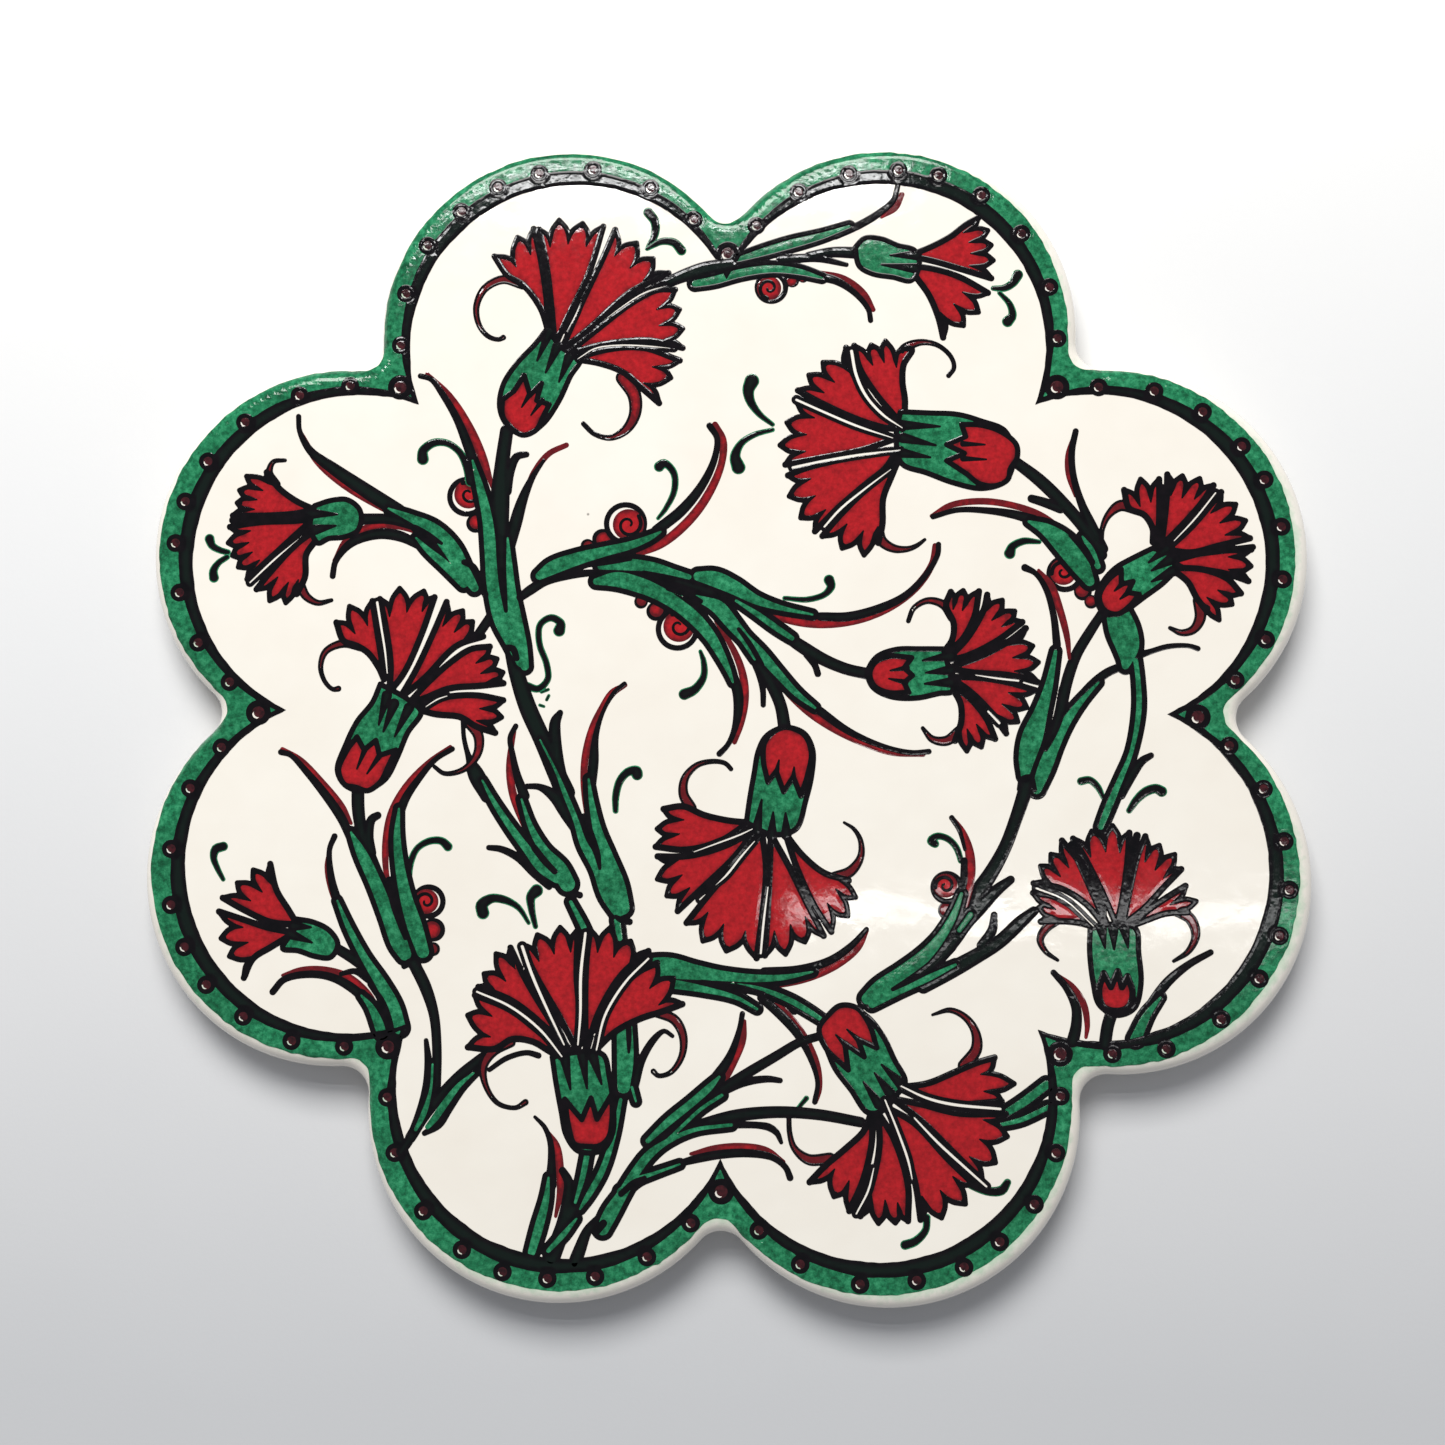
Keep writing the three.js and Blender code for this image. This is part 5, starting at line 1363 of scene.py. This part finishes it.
def relief(field, depths, heights):
    """A closed mesh of one layer of paint: level heights above the glaze at depths from its edge.

    Returns the vertices, the faces and each vertex's distance from the edge of the paint.
    """
    loops = [thinned(loop) for depth in depths for loop in contour_loops(field, depth)]
    loops = [loop for loop in loops if len(loop) >= SHORTEST_LOOP]
    points, faces = triangulated(loops, filling_points(field, depths[-1]))
    faces = faces[sampled(field, points[faces].mean(1)) > depths[0]]
    rim = open_sides(faces)

    used, renumbered = np.unique(np.concatenate([faces.ravel(), rim.ravel()]), return_inverse=True)
    points = points[used]
    rim, faces = renumbered[faces.size:].reshape(-1, 2), renumbered[:faces.size].reshape(-1, 3)
    depth = sampled(field, points)
    top = np.interp(depth, depths, heights)
    top[np.unique(rim)] = heights[0]
    ground = glaze_height(points)
    vertices = np.vstack([np.column_stack([points, ground + top]), np.column_stack([points, ground - SUNK])])
    walls = np.column_stack([rim[:, ::-1], rim + len(points)])
    faces = [*faces.tolist(), *(faces[:, ::-1] + len(points)).tolist(), *walls.tolist()]
    return vertices, faces, np.concatenate([depth, depth])


# ---- Pieces of the plate -------------------------------------------------------------------

SUNK = 0.03                 # every layer of paint reaches this far into the glaze
GLAZE_LIP = ((GLAZE_THICKNESS, 0.25), (0.15, 0), (0, 0.3))      # (inset, rise) of its lower edge
FACE_INSETS = (2.9, 3.6, 4.6, 6, 8)     # of the rings on the flat face


def add_relief(name, field, profile, material, slot, nodes):
    """A piece made of one layer of paint, with (depth, height) pairs as its profile."""
    depths, heights = zip(*profile)
    vertices, faces, depth = relief(field, depths, heights)
    add_piece(name, vertices, faces, material, slot, nodes, {"depth": depth}, smooth=False)


def add_body(material):
    wall = GLAZE_THICKNESS + WALL_CLEARANCE
    centre = FACE - EDGE_ROUNDING
    profile = [(wall + FOOT_CHAMFER, 0), (wall, FOOT_CHAMFER)]
    profile += rounded_edge(wall, EDGE_ROUNDING - wall, BODY_TOP - centre, centre)
    add_piece("plate_body", *scalloped_solid(profile), material, "biscuit", ["ceramic_body"])


def add_glaze(material):
    centre = FACE - EDGE_ROUNDING
    inner = rounded_edge(GLAZE_THICKNESS, EDGE_ROUNDING - GLAZE_THICKNESS, BODY_TOP - centre, centre)
    outer = rounded_edge(0, EDGE_ROUNDING, EDGE_ROUNDING, centre)
    profile = [*inner[::-1], *((inset, GLAZE_FOOT + rise) for inset, rise in GLAZE_LIP),
               *outer, *((inset, FACE) for inset in FACE_INSETS)]
    vertices, faces = scalloped_solid(profile)
    insets = np.repeat([inset for inset, _ in profile], len(scalloped_ring(0)))
    add_piece("glaze", vertices, faces, material, "cream_glaze", ["glaze_coat"], {"inset": insets})


# ---- Materials -----------------------------------------------------------------------------

MIX_FACTOR, MIX_FIRST, MIX_SECOND = 0, 6, 7     # a Mix node's inputs when it mixes colours
MIX_RESULT = 2
NOISE_LOW, NOISE_HIGH = 0.3, 0.7                # most of a noise texture lies between these


def new_material(name):
    """A material with its Principled BSDF, ready for other nodes."""
    material = bpy.data.materials.new(name)
    material.use_nodes = True
    return material, material.node_tree, material.node_tree.nodes["Principled BSDF"]


def node(tree, kind, inputs=None, **settings):
    """A node whose inputs are given as values or as the sockets that feed them."""
    made = tree.nodes.new(kind)
    for key, value in settings.items():
        setattr(made, key, value)
    for key, value in (inputs or {}).items():
        if isinstance(value, bpy.types.NodeSocket):
            tree.links.new(value, made.inputs[key])
        else:
            made.inputs[key].default_value = value
    return made


def noise(tree, size, detail=3.0, roughness=0.6):
    """Noise in the object's own space, whose features are about size millimetres."""
    place = node(tree, "ShaderNodeTexCoord").outputs["Object"]
    return node(tree, "ShaderNodeTexNoise", {
        "Vector": place, "Scale": 1 / (size * MM), "Detail": detail, "Roughness": roughness,
    }).outputs["Fac"]


def attribute(tree, name):
    return node(tree, "ShaderNodeAttribute", attribute_name=name).outputs["Fac"]


def ramp(tree, factor, *stops):
    """A colour ramp with (position, colour) stops."""
    made = node(tree, "ShaderNodeValToRGB", {"Fac": factor})
    elements = made.color_ramp.elements
    while len(elements) < len(stops):
        elements.new(0.5)
    for element, (position, colour) in zip(elements, stops):
        element.position = position
        element.color = (*colour, 1)
    return made.outputs["Color"]


def rescale(tree, value, low, high, new_low, new_high):
    """The value moved from one range to another and kept inside it."""
    return node(tree, "ShaderNodeMapRange", {
        "Value": value, "From Min": low, "From Max": high, "To Min": new_low, "To Max": new_high,
    }).outputs["Result"]


def uneven(tree, size, low, high, detail=3.0):
    """Noise spread between two values."""
    return rescale(tree, noise(tree, size, detail), NOISE_LOW, NOISE_HIGH, low, high)


def blend(tree, factor, first, second, mode="MIX"):
    inputs = {MIX_FACTOR: factor, MIX_FIRST: first, MIX_SECOND: second}
    return node(tree, "ShaderNodeMix", inputs, data_type="RGBA", blend_type=mode).outputs[MIX_RESULT]


def calculate(tree, operation, first, second):
    return node(tree, "ShaderNodeMath", {0: first, 1: second}, operation=operation).outputs[0]


def finish_surface(tree, surface, colour, roughness, *bumps):
    """Links the colour and roughness, and a chain of (height, depth in millimetres) bumps."""
    tree.links.new(colour, surface.inputs["Base Color"])
    tree.links.new(roughness, surface.inputs["Roughness"])
    normal = None
    for height, depth in bumps:
        inputs = {"Height": height, "Distance": depth * MM, "Strength": 1.0}
        if normal:
            inputs["Normal"] = normal
        normal = node(tree, "ShaderNodeBump", inputs).outputs["Normal"]
    tree.links.new(normal, surface.inputs["Normal"])


def cream_glaze():
    """White glaze with a faint orange peel, a few iron specks and green bled from the border."""
    material, tree, surface = new_material("cream_glaze")
    tone = ramp(tree, noise(tree, 14), (0.3, (0.87, 0.82, 0.74)), (0.7, (0.9, 0.86, 0.785)))
    place = node(tree, "ShaderNodeTexCoord").outputs["Object"]
    cells = node(tree, "ShaderNodeTexVoronoi", {"Vector": place, "Scale": 1 / (9 * MM)})
    specks = rescale(tree, cells.outputs["Distance"], 0.012, 0.03, 1, 0)
    lot = node(tree, "ShaderNodeSeparateColor", {"Color": cells.outputs["Color"]}).outputs[0]
    chosen = rescale(tree, lot, 0.72, 0.74, 0, 0.75)
    colour = blend(tree, calculate(tree, "MULTIPLY", specks, chosen), tone, (0.05, 0.04, 0.035, 1))
    wander = uneven(tree, 1.4, -0.5, 0.5)
    edge = calculate(tree, "ADD", attribute(tree, "inset"), wander)
    outer = rescale(tree, edge, 1.1, 2.4, 0, 0.45)
    inner = rescale(tree, attribute(tree, "inset"), 2.7, 3.6, 1, 0)
    bleed = calculate(tree, "MULTIPLY", outer, inner)
    colour = blend(tree, bleed, colour, (0.12, 0.48, 0.24, 1))
    roughness = uneven(tree, 5, 0.04, 0.09)
    finish_surface(tree, surface, colour, roughness, (noise(tree, 6, 1.0), 0.05),
                   (noise(tree, 1.8, 2.0), 0.008), (noise(tree, 0.5), 0.0015))
    return material


def biscuit():
    """Bare fired clay with a fine grain."""
    material, tree, surface = new_material("biscuit")
    colour = ramp(tree, noise(tree, 3, 6.0), (0.3, (0.66, 0.6, 0.49)), (0.7, (0.78, 0.73, 0.62)))
    roughness = uneven(tree, 1, 0.75, 0.95)
    finish_surface(tree, surface, colour, roughness, (noise(tree, 0.5, 5.0), 0.06))
    return material


def green_enamel():
    """Copper green, granular and uneven as the pigment settled."""
    material, tree, surface = new_material("green_enamel")
    grain = ramp(tree, noise(tree, 0.9, 5.0, 0.75), (0.36, (0.004, 0.085, 0.035)), (0.5, (0.012, 0.19, 0.08)),
                 (0.66, (0.045, 0.33, 0.155)))
    patches = ramp(tree, noise(tree, 6, 2.0), (0.35, (0.7, 0.74, 0.72)), (0.65, (1.1, 1.05, 1.05)))
    colour = blend(tree, 1.0, grain, patches, "MULTIPLY")
    roughness = uneven(tree, 1.2, 0.05, 0.13)
    surface.inputs["Specular IOR Level"].default_value = 0.4
    finish_surface(tree, surface, colour, roughness, (noise(tree, 1.0, 1.0), 0.01), (noise(tree, 0.4), 0.003))
    return material


def red_enamel():
    """Armenian red, thicker and darker where it runs up to the black lines."""
    material, tree, surface = new_material("red_enamel")
    wander = uneven(tree, 1.6, -0.3, 0.3, detail=4.0)
    edge = calculate(tree, "ADD", attribute(tree, "depth"), wander)
    body = ramp(tree, rescale(tree, edge, 0.2, 1.1, 0, 1), (0.0, (0.13, 0.004, 0.008)),
                (0.45, (0.33, 0.006, 0.011)), (1.0, (0.45, 0.009, 0.014)))
    grain = ramp(tree, noise(tree, 0.7, 4.0, 0.7), (0.35, (0.72, 0.7, 0.7)), (0.65, (1.1, 1.15, 1.15)))
    colour = blend(tree, 1.0, body, grain, "MULTIPLY")
    roughness = uneven(tree, 1.2, 0.03, 0.07)
    finish_surface(tree, surface, colour, roughness, (noise(tree, 1.8, 1.0), 0.004),
                   (noise(tree, 0.7, 1.0), 0.002))
    return material


def black_enamel():
    """Glossy black line, lumpy enough to break up reflections."""
    material, tree, surface = new_material("black_enamel")
    dark = ramp(tree, noise(tree, 1.5), (0.35, (0.002, 0.002, 0.003)), (0.7, (0.006, 0.004, 0.006)))
    middle = rescale(tree, attribute(tree, "depth"), 0.35, 0.85, 0, 0.8)
    colour = blend(tree, middle, dark, (0.005, 0.012, 0.009, 1))
    roughness = uneven(tree, 0.8, 0.03, 0.09)
    surface.inputs["Specular IOR Level"].default_value = 0.25
    finish_surface(tree, surface, colour, roughness, (noise(tree, 0.9, 1.0), 0.009))
    return material


def maroon_enamel():
    """The red-brown of the border's beads."""
    material, tree, surface = new_material("maroon_enamel")
    colour = ramp(tree, noise(tree, 0.8), (0.35, (0.015, 0.002, 0.004)), (0.65, (0.06, 0.006, 0.01)))
    roughness = uneven(tree, 0.8, 0.06, 0.14)
    finish_surface(tree, surface, colour, roughness, (noise(tree, 1.0), 0.006))
    return material


def floor_paper_painted_shade():
    """Smooth paper with painted shade: its tone falls from white behind the plate to a cool grey in front, as
    the light of the lamps behind it falls off.
    """
    material, tree, surface = new_material("floor_paper_painted_shade")
    place = node(tree, "ShaderNodeTexCoord").outputs["Object"]
    across = node(tree, "ShaderNodeSeparateXYZ", {"Vector": place}).outputs["Y"]
    drift = uneven(tree, 60, -0.004, 0.004)
    # Painted shade: the colour darkens towards the front, where less lamp light reaches the floor.
    back = rescale(tree, calculate(tree, "ADD", across, drift), -0.1, 0.1, 0, 1)
    colour = ramp(tree, back, (0.0, (0.59, 0.6, 0.62)), (0.28, (0.69, 0.695, 0.71)),
                  (0.55, (0.76, 0.765, 0.775)), (1.0, (0.85, 0.85, 0.85)))
    roughness = uneven(tree, 2, 0.8, 0.95)
    finish_surface(tree, surface, colour, roughness, (noise(tree, 0.6), 0.01))
    return material


# ---- Stage ---------------------------------------------------------------------------------

CAMERA_PLACE = Vector((9.292, -20.238, 291.971))
CAMERA_FORWARD = Vector((-0.03175, 0.06916, -0.9971))
CAMERA_UP = Vector((-0.00488, 0.99758, 0.06935))
CAMERA_LENS = 48.58
CAMERA_SENSOR = 36
CAMERA_SHIFT = (-0.0025, -0.0028)       # parts of the picture's width
CAMERA_CLIP = 0.01                      # metres

FLOOR_HALF = 1200
SKY_COLOUR = (0.93, 0.95, 1.0, 1)
SKY_STRENGTH = 0.28


def add_camera():
    data = bpy.data.cameras.new("camera")
    data.lens = CAMERA_LENS
    data.sensor_width = CAMERA_SENSOR
    data.shift_x, data.shift_y = CAMERA_SHIFT
    data.clip_start = CAMERA_CLIP
    camera = bpy.data.objects.new("camera", data)
    right = CAMERA_FORWARD.cross(CAMERA_UP).normalized()
    up = right.cross(CAMERA_FORWARD).normalized()
    turn = Matrix((right, up, -CAMERA_FORWARD.normalized())).transposed().to_4x4()
    camera.matrix_world = Matrix.Translation(CAMERA_PLACE * MM) @ turn
    bpy.context.scene.collection.objects.link(camera)
    bpy.context.scene.camera = camera


def add_softbox(name, place, size, power, colour=(1, 1, 1)):
    """A rectangular lamp, in metres and watts, tilted to the north or south to face the plate."""
    data = bpy.data.lights.new(name, "AREA")
    data.shape = "RECTANGLE"
    data.size, data.size_y = size
    data.energy = power
    data.color = colour
    light = bpy.data.objects.new(name, data)
    aim = Vector((0, -place[1], -place[2]))
    light.matrix_world = Matrix.Translation(place) @ aim.to_track_quat("-Z", "Y").to_matrix().to_4x4()
    bpy.context.scene.collection.objects.link(light)


def add_floor(material):
    corners = [(x * FLOOR_HALF, y * FLOOR_HALF, 0) for x, y in ((-1, -1), (1, -1), (1, 1), (-1, 1))]
    add_mesh("floor", corners, [(0, 1, 2, 3)], material)


def add_lights():
    add_softbox("key", (-0.1, 0.56, 0.65), size=(0.5, 0.33), power=7.9, colour=(1, 0.99, 0.96))
    add_softbox("top_glints", (-0.09, 0.306, 0.65), size=(0.3, 0.012), power=0.5)
    add_softbox("side_glints", (0.14, -0.045, 0.6), size=(0.26, 0.01), power=0.075)
    world = bpy.data.worlds.new("studio")
    world.use_nodes = True
    background = world.node_tree.nodes["Background"]
    background.inputs["Color"].default_value = SKY_COLOUR
    background.inputs["Strength"].default_value = SKY_STRENGTH
    bpy.context.scene.world = world


# ---- Assembly ------------------------------------------------------------------------------

# How paint swells inwards: (distance from its edge, height above the glaze). Lines stand above
# the fills that they cross.
FILL_PROFILE = ((0, 0.02), (0.15, 0.03), (0.5, 0.035), (0.9, 0.04))
BAND_PROFILE = ((0, 0.04), (0.15, 0.05), (0.32, 0.053), (0.5, 0.056), (0.7, 0.058), (0.9, 0.06))
LINE_PROFILE = ((0, 0.05), (0.1, 0.06), (0.28, 0.07), (0.6, 0.08))


def add_border():
    border = paint_border()
    add_relief("border_green", border.layers["green"], BAND_PROFILE, GREEN, "green_enamel",
               ["green_border_band"])
    add_relief("border_line", border.layers["black"], LINE_PROFILE, BLACK, "black_enamel",
               ["black_contour_line"])
    add_relief("border_dots", border.layers["red"], BAND_PROFILE, MAROON, "maroon_enamel",
               nodes_named("cusp_dot"))


def add_motifs():
    motifs = paint_motifs()
    add_relief("motif_green", motifs.layers["green"], FILL_PROFILE, GREEN, "green_enamel",
               nodes_named("calyx", "leaf"))
    add_relief("motif_red", motifs.layers["red"], FILL_PROFILE, RED, "red_enamel",
               nodes_named("petals", "scroll_bud"))
    add_relief("motif_lines", motifs.layers["black"], LINE_PROFILE, BLACK, "black_enamel", [])


GREEN, RED, BLACK, MAROON = green_enamel(), red_enamel(), black_enamel(), maroon_enamel()

bpy.context.scene.view_settings.view_transform = "Standard"
add_camera()
add_lights()
add_floor(floor_paper_painted_shade())
add_body(biscuit())
add_glaze(cream_glaze())
add_border()
add_motifs()
